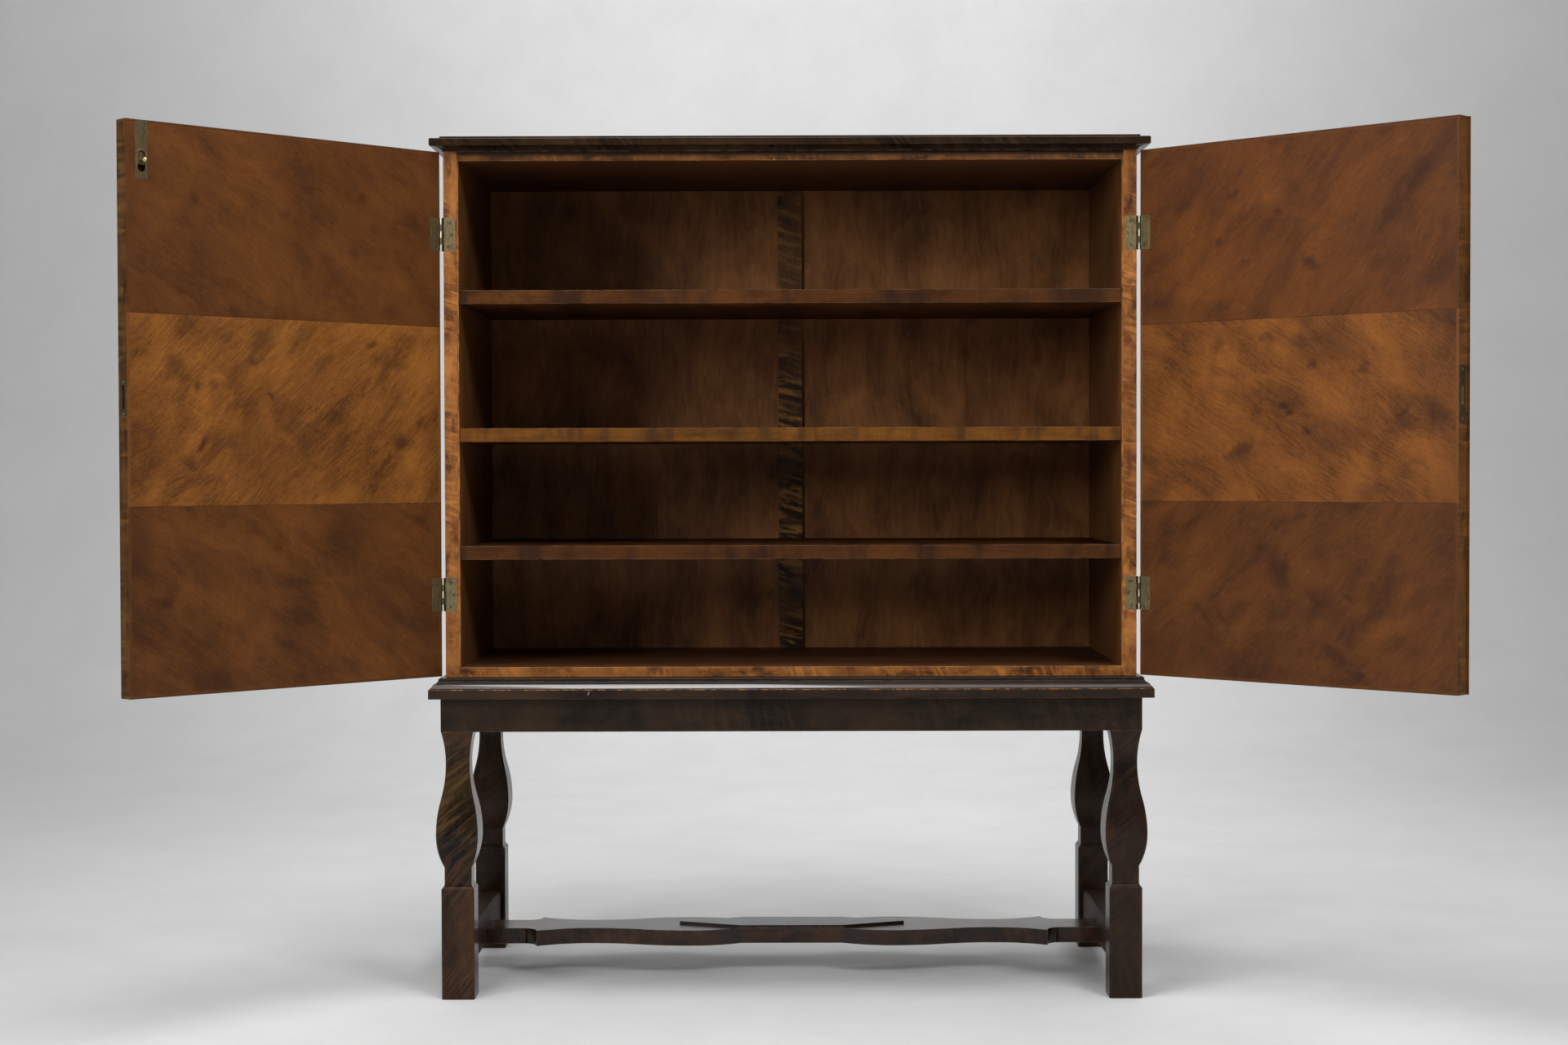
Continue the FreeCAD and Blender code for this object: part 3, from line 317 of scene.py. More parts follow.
def build_handling(tree, given):
    """Polish that is smeared, scratched and dusted in places."""
    place = tree.place()
    smears = tree.noise(place, 7.0, 4.0, 0.6)
    scratch_a = tree.noise(tree.scaled(place, 30.0, 30.0, 900.0), 1.0, 2.0)
    scratch_b = tree.noise(tree.scaled(place, 700.0, 700.0, 22.0), 1.0, 2.0)
    scratches = tree.larger(tree.span(scratch_a, 0.70, 0.78), tree.span(scratch_b, 0.72, 0.80))
    scratches = tree.multiply(scratches, tree.span(tree.noise(place, 11.0, 2.0), 0.48, 0.68))
    up = tree.split(tree.node("ShaderNodeNewGeometry").outputs["Normal"])[2]
    dust = tree.multiply(tree.span(up, 0.6, 1.0), tree.span(tree.noise(place, 22.0, 4.0), 0.35, 0.75))
    dust = tree.multiply(dust, given["Dust"])
    marks = tree.multiply(scratches, given["Scratches"])
    rough = tree.add(tree.swing(smears, given["Smears"]), tree.multiply(marks, 0.2))
    dullness = tree.add(rough, tree.multiply(dust, 0.3))
    colour = tree.blend(marks, given["Color"], given["Mark"])
    colour = tree.blend(dust, colour, tone(150, 142, 130))
    return {"Color": colour, "Dullness": dullness, "Height": tree.multiply(marks, -1.0)}


def build_mark(tree, given):
    """One soft dark mark, longer along its own slope."""
    local = tree.node("ShaderNodeMapping", vector_type="TEXTURE")
    for socket, label in (("Vector", "Place"), ("Location", "At"), ("Rotation", "Slope"), ("Scale", "Reach")):
        tree.feed(local.inputs[socket], given[label])
    spot = tree.multiply(tree.span(tree.length(local.outputs[0]), 1.9, 0.25), given["Strength"])
    left = tree.subtract(1.0, given["Mask"])
    return {"Mask": tree.add(given["Mask"], tree.multiply(spot, left))}


WOOD = effect("wood_figure", WOOD_INPUTS, WOOD_OUTPUTS, build_wood)
MARK = effect(
    "veneer_mark",
    (
        ("Place", "vector", (0.0, 0.0, 0.0)),
        ("At", "vector", (0.0, 0.0, 0.0)),
        ("Slope", "vector", (0.0, 0.0, 0.0)),
        ("Reach", "vector", (0.01, 0.01, 1.0)),
        ("Strength", "value", 0.5),
        ("Mask", "value", 0.0),
    ),
    (("Mask", "value"),),
    build_mark,
)
ARRIS_WEAR_AND_HIGHLIGHT = effect(
    "arris_wear_and_highlight",
    (
        ("Color", "colour", (0.5, 0.5, 0.5, 1.0)),
        ("Worn", "colour", tone(160, 110, 60)),
        ("Amount", "value", 0.6),
        ("Width", "value", 0.0012),
    ),
    (("Color", "colour"), ("Mask", "value")),
    build_arris_wear_and_highlight,
)
HANDLING = effect(
    "handled_polish",
    (
        ("Color", "colour", (0.5, 0.5, 0.5, 1.0)),
        ("Mark", "colour", tone(150, 110, 70)),
        ("Scratches", "value", 0.3),
        ("Smears", "value", 0.2),
        ("Dust", "value", 0.1),
    ),
    (("Color", "colour"), ("Dullness", "value"), ("Height", "value")),
    build_handling,
)


def start_material(name):
    """A new material, the helper for its nodes, and its shader."""
    material = bpy.data.materials.new(name)
    material.use_nodes = True
    return material, Tree(material.node_tree), material.node_tree.nodes["Principled BSDF"]


def rounded_normal(tree, shader, height, strength, depth=0.0004, radius=0.0008):
    """Bump over arrises that are eased a little."""
    eased = tree.node("ShaderNodeBevel", samples=4)
    eased.inputs["Radius"].default_value = radius
    bump = tree.node("ShaderNodeBump")
    bump.inputs["Strength"].default_value = strength
    bump.inputs["Distance"].default_value = depth
    tree.feed(bump.inputs["Height"], height)
    tree.feed(bump.inputs["Normal"], eased.outputs[0])
    tree.feed(shader.inputs["Normal"], bump.outputs[0])


FINISH = {
    "gloss": 0.34,
    "wear": 0.5,
    "worn": tone(168, 118, 66),
    "scratches": 0.25,
    "dust": 0.04,
    "bump": 0.25,
    "smears": 0.2,
    "shine": 0.35,
}


def finish_wood(tree, shader, wood, **changes):
    """Wear, polish and relief over a figured wood colour."""
    look = {**FINISH, **changes}
    worn = use(tree, ARRIS_WEAR_AND_HIGHLIGHT, Color=wood["Color"], Worn=look["worn"], Amount=look["wear"], Width=0.0013)
    handled = use(
        tree, HANDLING, Color=worn["Color"],
        Scratches=look["scratches"], Dust=look["dust"], Smears=look["smears"],
    )
    tree.feed(shader.inputs["Base Color"], handled["Color"])
    dull = tree.add(tree.add(wood["Dullness"], handled["Dullness"]), tree.multiply(worn["Mask"], 0.15))
    tree.feed(shader.inputs["Roughness"], tree.math("ADD", dull, look["gloss"], clamp=True))
    shader.inputs["Specular IOR Level"].default_value = look["shine"]
    height = tree.add(wood["Height"], tree.multiply(handled["Height"], 0.6))
    rounded_normal(tree, shader, height, look["bump"])


def take_finish(values):
    """The finish among the values of a wood, taken out of them."""
    return {key: values.pop(key) for key in FINISH if key in values}


def recoloured(wood, colour, **changes):
    """A figured wood with another colour over its own relief and dullness."""
    return {"Color": colour, "Height": wood["Height"], "Dullness": wood["Dullness"], **changes}


def plain_wood(name, along, light, dark, deep, **values):
    """A board or rail whose grain runs along one axis of the cabinet."""
    material, tree, shader = start_material(name)
    finish = take_finish(values)
    x, y, z = tree.split(tree.object_place())
    order = {"x": (x, z, y), "y": (y, z, x), "z": (z, x, y)}[along]
    wood = use(tree, WOOD, Vector=tree.combine(*order), Light=light, Dark=dark, Deep=deep, **values)
    finish_wood(tree, shader, wood, **finish)
    return material


def back_wood(name, light, dark, deep, **values):
    """A board of the back, figured inside the case and plain and dull outside it."""
    material, tree, shader = start_material(name)
    finish = take_finish(values)
    x, y, z = tree.split(tree.object_place())
    vector = tree.combine(z, x, y)
    inside = use(tree, WOOD, Vector=vector, Light=light, Dark=dark, Deep=deep, **values)
    outside = use(
        tree, WOOD, Vector=vector,
        Light=tone(112, 72, 40), Dark=tone(74, 46, 26), Deep=tone(46, 28, 17), Streaks=1.0,
    )
    colour = tree.blend(tree.above(y, BACK_MIDDLE_Y), inside["Color"], outside["Color"])
    finish_wood(tree, shader, recoloured(inside, colour), **finish)
    return material


def chipped(tree, colour, chips, pale):
    """Small pale chips, each at a place on the front with its size, stretch, lean and strength."""
    x, y, z = tree.split(tree.object_place())
    place = tree.combine(x, z, 0.0)
    mask = 0.0
    for across, height, size, stretch, lean, strength in chips:
        mask = use(
            tree, MARK, Place=place, At=(across, height, 0.0), Slope=(0.0, 0.0, math.radians(lean)),
            Reach=(size * stretch / 1000, size / 1000, 1.0), Strength=strength, Mask=mask,
        )["Mask"]
    return tree.blend(mask, colour, pale)


def flamed_leg(name, light, dark, deep, foot, **values):
    """Stained leg whose flame is strong on the neck and bulge, and faint and steeper on the foot."""
    material, tree, shader = start_material(name)
    finish = take_finish(values)
    x, y, z = tree.split(tree.object_place((-LEG_MIDDLE_X, 0, 0)))
    upper = tree.between(z, *LEG_FLAME)
    wood = use(
        tree,
        WOOD,
        Vector=tree.combine(tree.add(z, 0.9), x, y),
        Light=tree.blend(upper, foot, light),
        Dark=dark,
        Deep=deep,
        Curl=tree.add(0.8, tree.multiply(upper, 0.1)),
        Curl_Slope=tree.add(-1.4, tree.multiply(tree.span(z, *FOOT_FLAME), 0.6)),
        **values,
    )
    finish_wood(tree, shader, wood, **finish)
    return material


def stand_moulding_wood(light, dark, deep, chips):
    """A gleaming slope between dull members, a broken ochre line on the arris below it, and painted shade
    darkening the members above it.
    """
    material, tree, shader = start_material("stand_moulding_wood")
    x, y, z = tree.split(tree.object_place())
    wood = use(
        tree, WOOD, Vector=tree.combine(x, z, y), Light=light, Dark=dark, Deep=deep,
        Streaks=0.4, Bands=0.6, Clouds=2.2, Vessels=0.2, Patches=0.6,
    )
    slope = tree.between(z, *MOULDING_SLOPE)
    arris = tree.between(z, *MOULDING_ARRIS)
    broken = tree.noise(tree.scaled(tree.combine(x, z, y), 1.0, 0.2, 0.2), 90.0, 7.0, 0.75)
    broken = tree.span(broken, 0.48, 0.58)
    # Painted shade: the hollow, bead and ledge above the slope are blended towards near black
    painted_shade = tree.multiply(tree.span(z, *MOULDING_PAINTED_SHADE), 0.6)
    colour = tree.blend(tree.multiply(tree.multiply(arris, broken), 0.75), wood["Color"], tone(160, 108, 58))
    colour = tree.blend(painted_shade, colour, tone(18, 14, 13))
    colour = chipped(tree, colour, chips, tone(150, 152, 150))
    wood = recoloured(wood, colour, Dullness=tree.multiply(wood["Dullness"], 0.5))
    look = {"gloss": 0.40, "wear": 0.5, "scratches": 0.15, "dust": 0.0, "bump": 0.06, "smears": 0.08}
    finish_wood(tree, shader, wood, shine=0.15, **look)
    tree.feed(shader.inputs["Coat Weight"], slope)
    shader.inputs["Coat Roughness"].default_value = 0.10
    return material


def shelf_wood(name, light, dark, deep, shadow, start, cover):
    """A shelf whose lipping is crossed by dark patches along its length."""
    material, tree, shader = start_material(name)
    x, y, z = tree.split(tree.object_place((start, 0, 0)))
    wood = use(
        tree, WOOD, Vector=tree.combine(x, z, y), Light=light, Dark=dark, Deep=deep,
        Streaks=0.7, Bands=0.8, Clouds=1.2, Patches=0.5, Vessels=0.3, Fineness=1.6,
    )
    crossed = tree.noise(tree.combine(x, tree.multiply(z, 0.35), tree.multiply(y, 0.2)), 17.0, 3.0, 0.6)
    crossed = tree.multiply(tree.span(crossed, cover - 0.03, cover + 0.15), 0.75)
    colour = tree.blend(crossed, wood["Color"], shadow)
    wood = recoloured(wood, colour)
    finish_wood(
        tree, shader, wood, gloss=0.45, wear=1.4, worn=tone(150, 112, 84), scratches=0.2, dust=0.0, shine=0.12
    )
    return material


def case_front_edge(light, dark, deep, rail, chips, **values):
    """Golden front edges; the rail under the cornice is darker wood, with painted shade from the cornice
    deepening towards its top.
    """
    material, tree, shader = start_material("case_front_edge")
    finish = take_finish(values)
    x, y, z = tree.split(tree.object_place())
    level_piece = tree.below(tree.absolute(x), POST_X)
    upright = tree.subtract(1.0, level_piece)
    along = tree.add(tree.multiply(z, upright), tree.multiply(x, level_piece))
    side = tree.add(tree.multiply(x, upright), tree.multiply(z, level_piece))
    vector = tree.scaled(tree.combine(along, side, y), 2.2, 2.2, 2.2)
    wood = use(tree, WOOD, Vector=vector, Light=light, Dark=dark, Deep=deep, **values)
    # Painted shade under the cornice: the rail goes from half of its dark tone at the bottom to all of it at
    # the top
    shade = tree.multiply(tree.span(z, *RAIL_PAINTED_SHADE), tree.above(z, RAIL_BOTTOM))
    colour = tree.blend(tree.multiply(shade, level_piece), wood["Color"], rail)
    colour = chipped(tree, colour, chips, tone(170, 140, 104))
    wood = recoloured(wood, colour)
    finish_wood(tree, shader, wood, **finish)
    return material


def door_local(tree, word):
    """Coordinates of a door as if closed, from its hinge: x along it, y out of the inner face, z up."""
    at = (DOOR_SIDE[word] * HINGE_AXIS_X, HINGE_AXIS_Y, 0)
    return tree.object_place(at, (0, 0, DOOR_ANGLE[word]))


def door_veneer(word, slopes, lights, darks, deep, marks):
    """Three bands of veneer whose grain leans one way and then the other."""
    material, tree, shader = start_material(word + "_door_veneer")
    x, y, z = tree.split(door_local(tree, word))
    across = tree.multiply(x, -1.0)
    upper = tree.above(z, SEAMS[1])
    lower = tree.below(z, SEAMS[0])

    def per_band(bottom, middle, top):
        if isinstance(middle, tuple):
            return tree.blend(upper, tree.blend(lower, middle, bottom), top)
        value = tree.add(middle, tree.multiply(lower, bottom - middle))
        return tree.add(value, tree.multiply(upper, top - middle))

    slope = per_band(*slopes)
    cosine = tree.math("COSINE", slope)
    sine = tree.math("SINE", slope)
    along = tree.add(tree.multiply(across, cosine), tree.multiply(z, sine))
    over = tree.subtract(tree.multiply(z, cosine), tree.multiply(across, sine))
    along = tree.add(along, per_band(3.1, 0.0, 6.7))
    over = tree.add(over, per_band(1.9, 0.4, 5.3))
    wood = use(
        tree, WOOD, Vector=tree.combine(along, over, tree.multiply(y, 6.0)),
        Light=per_band(*lights), Dark=per_band(*darks), Deep=deep,
        Streaks=per_band(0.9, 1.1, 0.9), Bands=0.5, Clouds=1.9, Curl=0.10, Curl_Slope=0.5,
        Patches=0.42, Vessels=0.35, Fineness=2.6, Swirl=0.05,
    )
    place = tree.combine(across, z, 0.0)
    ragged = tree.noise(place, 70.0, 4.0, result="Color")
    shift = tree.vector_math("MULTIPLY_ADD", ragged, (0.022, 0.022, 0.0), (-0.011, -0.011, 0.0))
    torn = tree.vector_math("ADD", place, shift)
    mask = 0.0
    for reach, height, size, stretch, lean, strength in marks:
        size /= 1000
        mask = use(
            tree, MARK, Place=torn, At=(DOOR_SIDE[word] * reach, height, 0.0),
            Slope=(0.0, 0.0, math.atan(math.tan(math.radians(lean)) * 0.7)),
            Reach=(size * stretch, size, 1.0), Strength=strength, Mask=mask,
        )["Mask"]
    colour = tree.blend(tree.multiply(mask, 0.9), wood["Color"], deep)
    seam = None
    for height in SEAMS:
        gap = tree.absolute(tree.subtract(z, height))
        line = tree.span(gap, 0.0011, 0.0004)
        seam = line if seam is None else tree.larger(seam, line)
    colour = tree.blend(tree.multiply(seam, 0.4), colour, deep)
    off_middle = tree.absolute(tree.subtract(x, DOOR_SIDE[word] * -DOOR_MIDDLE))
    rim = tree.span(off_middle, 0.21, DOOR_MIDDLE)
    colour = tree.blend(tree.multiply(rim, 0.22), colour, deep)
    wood = recoloured(wood, colour, Height=tree.subtract(wood["Height"], seam))
    finish_wood(tree, shader, wood, gloss=0.40, wear=0.25, scratches=0.12, dust=0.0, bump=0.2, shine=0.18)
    return material


def door_edging(word, light, dark, deep):
    """Solid edging, its grain along each strip."""
    material, tree, shader = start_material(word + "_door_edging")
    x, y, z = tree.split(door_local(tree, word))
    inner = tree.above(y, EDGING_INNER_Y)
    golden = tree.multiply(tree.above(z, SEAMS[0]), tree.below(z, SEAMS[1]))
    ends = tree.larger(tree.above(z, EDGING_ENDS[1]), tree.below(z, EDGING_ENDS[0]))
    sides = tree.subtract(1.0, ends)
    along = tree.add(tree.multiply(z, sides), tree.multiply(x, ends))
    side = tree.add(tree.multiply(x, sides), tree.multiply(z, ends))
    wood = use(
        tree, WOOD, Vector=tree.scaled(tree.combine(along, side, y), 2.0, 2.0, 2.0),
        Light=light, Dark=dark, Deep=deep, Streaks=0.6, Bands=0.7, Clouds=1.2,
        Curl=0.8, Curl_Slope=0.4, Curl_Pitch=0.5, Patches=0.7, Vessels=0.25,
    )
    veneer = tree.blend(golden, tone(88, 50, 23), tone(118, 72, 32))
    colour = tree.blend(tree.multiply(inner, 0.8), wood["Color"], veneer)
    wood = recoloured(wood, colour)
    look = {"gloss": 0.38, "wear": 0.35, "worn": tone(160, 116, 70), "scratches": 0.2, "dust": 0.0}
    finish_wood(tree, shader, wood, shine=0.15, **look)
    return material


def aged_brass(name, light, dark, gloss, knuckle_glint=None):
    """Brass gone olive and rubbed bright on its edges; on hinge knuckles, a painted shade over the barrel
    with a painted glint line down its front.
    """
    material, tree, shader = start_material(name)
    place = tree.place()
    tarnish = tree.noise(place, 90.0, 4.0, 0.55)
    fine = tree.noise(tree.scaled(place, 1.0, 1.0, 12.0), 240.0, 3.0)
    level = tree.span(tree.add(tarnish, tree.multiply(fine, 0.3)), 0.45, 0.85)
    colour = tree.blend(level, dark, light)
    brushed = tree.noise(tree.scaled(place, 900.0, 900.0, 40.0), 1.0, 2.0, 0.6)
    colour = tree.blend(tree.span(brushed, 0.35, 0.75, 0.0, 0.5), colour, light, "SCREEN")
    if knuckle_glint:
        x, y, z = tree.split(place)
        across = tree.subtract(tree.absolute(x), HINGE_AXIS_X)
        reach = tree.length(tree.combine(across, tree.subtract(y, HINGE_AXIS_Y), 0.0))
        # Painted shade: the barrel of the knuckle is blended towards a dark brass
        turned = tree.span(reach, *KNUCKLE_SHADE_FADE)
        colour = tree.blend(turned, colour, tone(58, 51, 37))
        # Painted glint: a narrow bright line down the front of the barrel
        painted_glint = tree.span(tree.absolute(tree.subtract(across, 0.0003)), 0.0016, 0.0008)
        colour = tree.blend(tree.multiply(painted_glint, turned), colour, knuckle_glint)
    worn = use(tree, ARRIS_WEAR_AND_HIGHLIGHT, Color=colour, Worn=tone(226, 200, 140), Amount=0.8, Width=0.0006)
    handled = use(
        tree, HANDLING, Color=worn["Color"], Mark=tone(200, 176, 120), Scratches=0.5, Smears=0.3, Dust=0.0
    )
    tree.feed(shader.inputs["Base Color"], handled["Color"])
    shader.inputs["Metallic"].default_value = 1.0
    rough = tree.add(handled["Dullness"], tree.multiply(tree.subtract(1.0, level), 0.2))
    tree.feed(shader.inputs["Roughness"], tree.math("ADD", rough, gloss, clamp=True))
    rounded_normal(tree, shader, tree.add(tarnish, fine), 0.25, 0.0002, 0.0004)
    return material


# Woods and metals of this cabinet
STAIN = {"light": tone(60, 41, 24), "dark": tone(26, 18, 12), "deep": tone(12, 8, 6)}
STAIN_FINISH = {
    "gloss": 0.22,
    "wear": 0.8,
    "worn": tone(140, 98, 54),
    "scratches": 0.25,
    "dust": 0.03,
    "bump": 0.12,
    "shine": 0.28,
}


def stained(name, along, curl=0.5, slope=-0.5, **more):
    """Dark polished stain over flamed wood."""
    figure = {"Streaks": 0.4, "Bands": 0.6, "Clouds": 0.9, "Vessels": 0.2, "Patches": 0.3}
    values = {**STAIN, **STAIN_FINISH, **figure, **more}
    return plain_wood(name, along, Curl=curl, Curl_Slope=slope, **values)


def stretcher_wood():
    """Serpentine board, mottled red and black, greyer where its front edge turns beside the middle."""
    material, tree, shader = start_material("stained_stretcher")
    x, y, z = tree.split(tree.object_place())
    wood = use(
        tree, WOOD, Vector=tree.combine(x, z, y),
        Light=tone(72, 46, 27), Dark=tone(24, 19, 17), Deep=tone(12, 10, 10),
        Streaks=0.4, Bands=0.5, Clouds=2.6, Curl=0.35, Curl_Slope=0.2, Patches=0.7, Vessels=0.2,
    )
    wide = tree.absolute(x)
    turned = tree.multiply(tree.above(wide, 0.0765), tree.span(wide, 0.125, 0.105))
    edge = tree.below(z, 0.0712)
    colour = tree.blend(tree.multiply(tree.multiply(turned, edge), 0.75), wood["Color"], tone(40, 37, 38))
    wood = recoloured(wood, colour)
    finish = {**STAIN_FINISH, "gloss": 0.15, "bump": 0.05, "scratches": 0.15, "wear": 1.0}
    finish["worn"] = tone(170, 150, 130)
    finish_wood(tree, shader, wood, **finish)
    return material


# Dark marks of each door: distance from the hinge and height in metres, size in millimetres, stretch, lean
# in degrees and strength
LEFT_MARKS = (
    (0.416, 1.163, 8, 1.2, -40, 0.5), (0.272, 1.153, 7, 1.2, 0, 0.4), (0.231, 1.187, 6, 1.5, -40, 0.45),
    (0.163, 1.2, 16, 2, -50, 0.35), (0.138, 1.185, 6, 1.2, 0, 0.5), (0.142, 1.225, 12, 2.6, -55, 0.3),
    (0.119, 1.137, 7, 1.5, -40, 0.35), (0.155, 1.102, 7, 1.2, 0, 0.5), (0.354, 1.01, 7, 1.3, -50, 0.45),
    (0.086, 1.022, 10, 1.5, 0, 0.45), (0.28, 1.234, 24, 1.8, -45, 0.2), (0.427, 1.108, 26, 2.2, -45, 0.18),
    (0.311, 0.972, 13, 1.6, 60, 0.6), (0.323, 0.942, 5, 1.4, 40, 0.6), (0.445, 0.933, 9, 2.2, -60, 0.5),
    (0.41, 0.906, 4, 1.6, 45, 0.7), (0.386, 0.909, 6, 1.4, 40, 0.5), (0.295, 0.894, 5, 1.4, -60, 0.75),
    (0.273, 0.875, 14, 2.2, -50, 0.4), (0.123, 0.972, 6, 1.5, 20, 0.6), (0.093, 0.948, 12, 2, -10, 0.6),
    (0.105, 0.925, 9, 1.5, 60, 0.5), (0.404, 0.826, 4, 2.4, 65, 0.75), (0.426, 0.801, 7, 1.6, -30, 0.65),
    (0.335, 0.848, 16, 2.2, 70, 0.4), (0.184, 0.866, 11, 1.5, -50, 0.4), (0.074, 0.832, 9, 1.5, 10, 0.7),
    (0.103, 0.801, 4, 5, 62, 0.5), (0.122, 0.763, 6, 1.6, 60, 0.6), (0.04, 0.86, 5, 2, 60, 0.5),
    (0.286, 0.801, 45, 1.7, -10, 0.38), (0.463, 0.817, 22, 1.8, 60, 0.38),
    (0.012, 0.765, 12, 1.8, 70, 0.5), (0.207, 0.944, 7, 3, 60, 0.4), (0.364, 0.976, 5, 3, 50, 0.4),
    (0.46, 0.61, 7, 1.5, 50, 0.55), (0.451, 0.63, 6, 1.5, -30, 0.4), (0.422, 0.594, 8, 1.3, 0, 0.3),
    (0.325, 0.587, 14, 2, 60, 0.25), (0.258, 0.575, 12, 2.5, 50, 0.22), (0.314, 0.702, 5, 5, -48, 0.35),
    (0.156, 0.711, 40, 1.6, -30, 0.25), (0.04, 0.718, 6, 3, 50, 0.4), (0.385, 0.498, 14, 2, 10, 0.35),
    (0.154, 0.499, 4, 4, -50, 0.4), (0.409, 0.639, 8, 1.6, -45, 0.3), (0.503, 0.678, 18, 2.5, 80, 0.25),
)
RIGHT_MARKS = (
    (0.237, 1.152, 6, 1.1, 0, 0.75), (0.292, 1.077, 8, 1.4, -30, 0.75), (0.165, 1.185, 7, 1.2, 30, 0.5),
    (0.139, 1.118, 4, 1.4, 60, 0.5), (0.182, 1.085, 5, 1.2, 0, 0.4), (0.12, 1.226, 20, 2.4, 50, 0.4),
    (0.077, 1.173, 9, 1.4, 0, 0.45), (0.057, 1.102, 10, 2.6, 55, 0.45), (0.148, 1.02, 9, 1.5, 60, 0.4),
    (0.26, 1.182, 9, 1.3, 0, 0.35), (0.468, 1.199, 7, 4, 58, 0.45), (0.487, 1.053, 12, 2, 50, 0.5),
    (0.406, 1.128, 22, 1.8, 40, 0.25), (0.056, 1.023, 16, 1.6, 0, 0.4), (0.394, 1.069, 9, 1.5, 50, 0.35),
    (0.409, 1.257, 8, 2, 30, 0.4), (0.251, 0.879, 5.5, 1.2, 0, 0.85), (0.257, 0.867, 5, 1.2, 20, 0.85),
    (0.287, 0.842, 6, 1.2, 0, 0.8), (0.181, 0.818, 8, 1.8, 50, 0.7), (0.164, 0.808, 6, 1.8, 10, 0.5),
    (0.224, 0.976, 7, 1.6, -50, 0.6), (0.276, 0.967, 9, 1.6, -10, 0.5), (0.294, 0.936, 6, 1.3, 0, 0.65),
    (0.136, 0.965, 8, 1.4, 60, 0.5), (0.317, 0.955, 20, 1.6, 20, 0.3), (0.481, 0.871, 12, 2.2, -50, 0.5),
    (0.469, 0.922, 22, 1.8, -50, 0.35), (0.372, 0.926, 4, 3, 50, 0.5), (0.03, 0.755, 16, 1.6, 20, 0.55),
    (0.088, 0.771, 2.5, 1.2, 0, 0.8), (0.311, 0.826, 12, 2, -40, 0.35), (0.382, 0.754, 12, 1.8, 40, 0.4),
    (0.438, 0.869, 3, 4, 52, 0.5), (0.221, 0.809, 30, 2, 30, 0.15), (0.242, 0.638, 13, 1.8, -70, 0.6),
    (0.219, 0.665, 16, 1.8, -35, 0.4), (0.116, 0.576, 5, 4, -55, 0.5), (0.152, 0.562, 4, 4.5, -65, 0.4),
    (0.237, 0.578, 8, 1.6, 10, 0.45), (0.297, 0.606, 7, 1.8, -70, 0.55), (0.317, 0.602, 7, 1.4, 60, 0.5),
    (0.353, 0.607, 3.5, 3, -55, 0.5), (0.337, 0.577, 13, 1.8, -40, 0.3), (0.332, 0.527, 7, 3.5, -45, 0.5),
    (0.37, 0.498, 7, 1.6, -20, 0.7), (0.36, 0.544, 6, 2, 30, 0.4), (0.042, 0.508, 24, 1.6, -40, 0.4),
    (0.219, 0.541, 12, 2, 70, 0.3), (0.184, 0.5, 26, 1.8, 20, 0.3), (0.251, 0.491, 14, 2, 10, 0.35),
    (0.433, 0.635, 10, 4, 32, 0.3), (0.112, 0.53, 30, 1.8, 60, 0.25), (0.465, 0.61, 10, 4, 38, 0.25),
    (0.281, 0.607, 22, 1.5, 0, 0.3),
)

# Figure and finish of the woods that share them
EDGE_LOOK = {
    "Streaks": 0.4, "Bands": 0.5, "Clouds": 2.0, "Curl": 0.6, "Curl_Slope": 0.3, "Curl_Pitch": 0.7,
    "Patches": 0.85, "Vessels": 0.2, "gloss": 0.38, "wear": 0.9, "worn": tone(214, 170, 112), "shine": 0.2,
}
INSIDE = {
    "Streaks": 0.7, "Bands": 0.7, "Clouds": 1.0, "Patches": 0.3, "Vessels": 0.3, "gloss": 0.42, "shine": 0.25,
}
BACK = {**INSIDE, "Clouds": 1.9, "Swirl": 0.05, "Patches": 0.45}
LEG_LOOK = {
    **STAIN_FINISH, "Streaks": 0.3, "Bands": 0.3, "Clouds": 1.9, "Vessels": 0.2, "Patches": 0.6,
    "gloss": 0.16, "shine": 0.16,
}

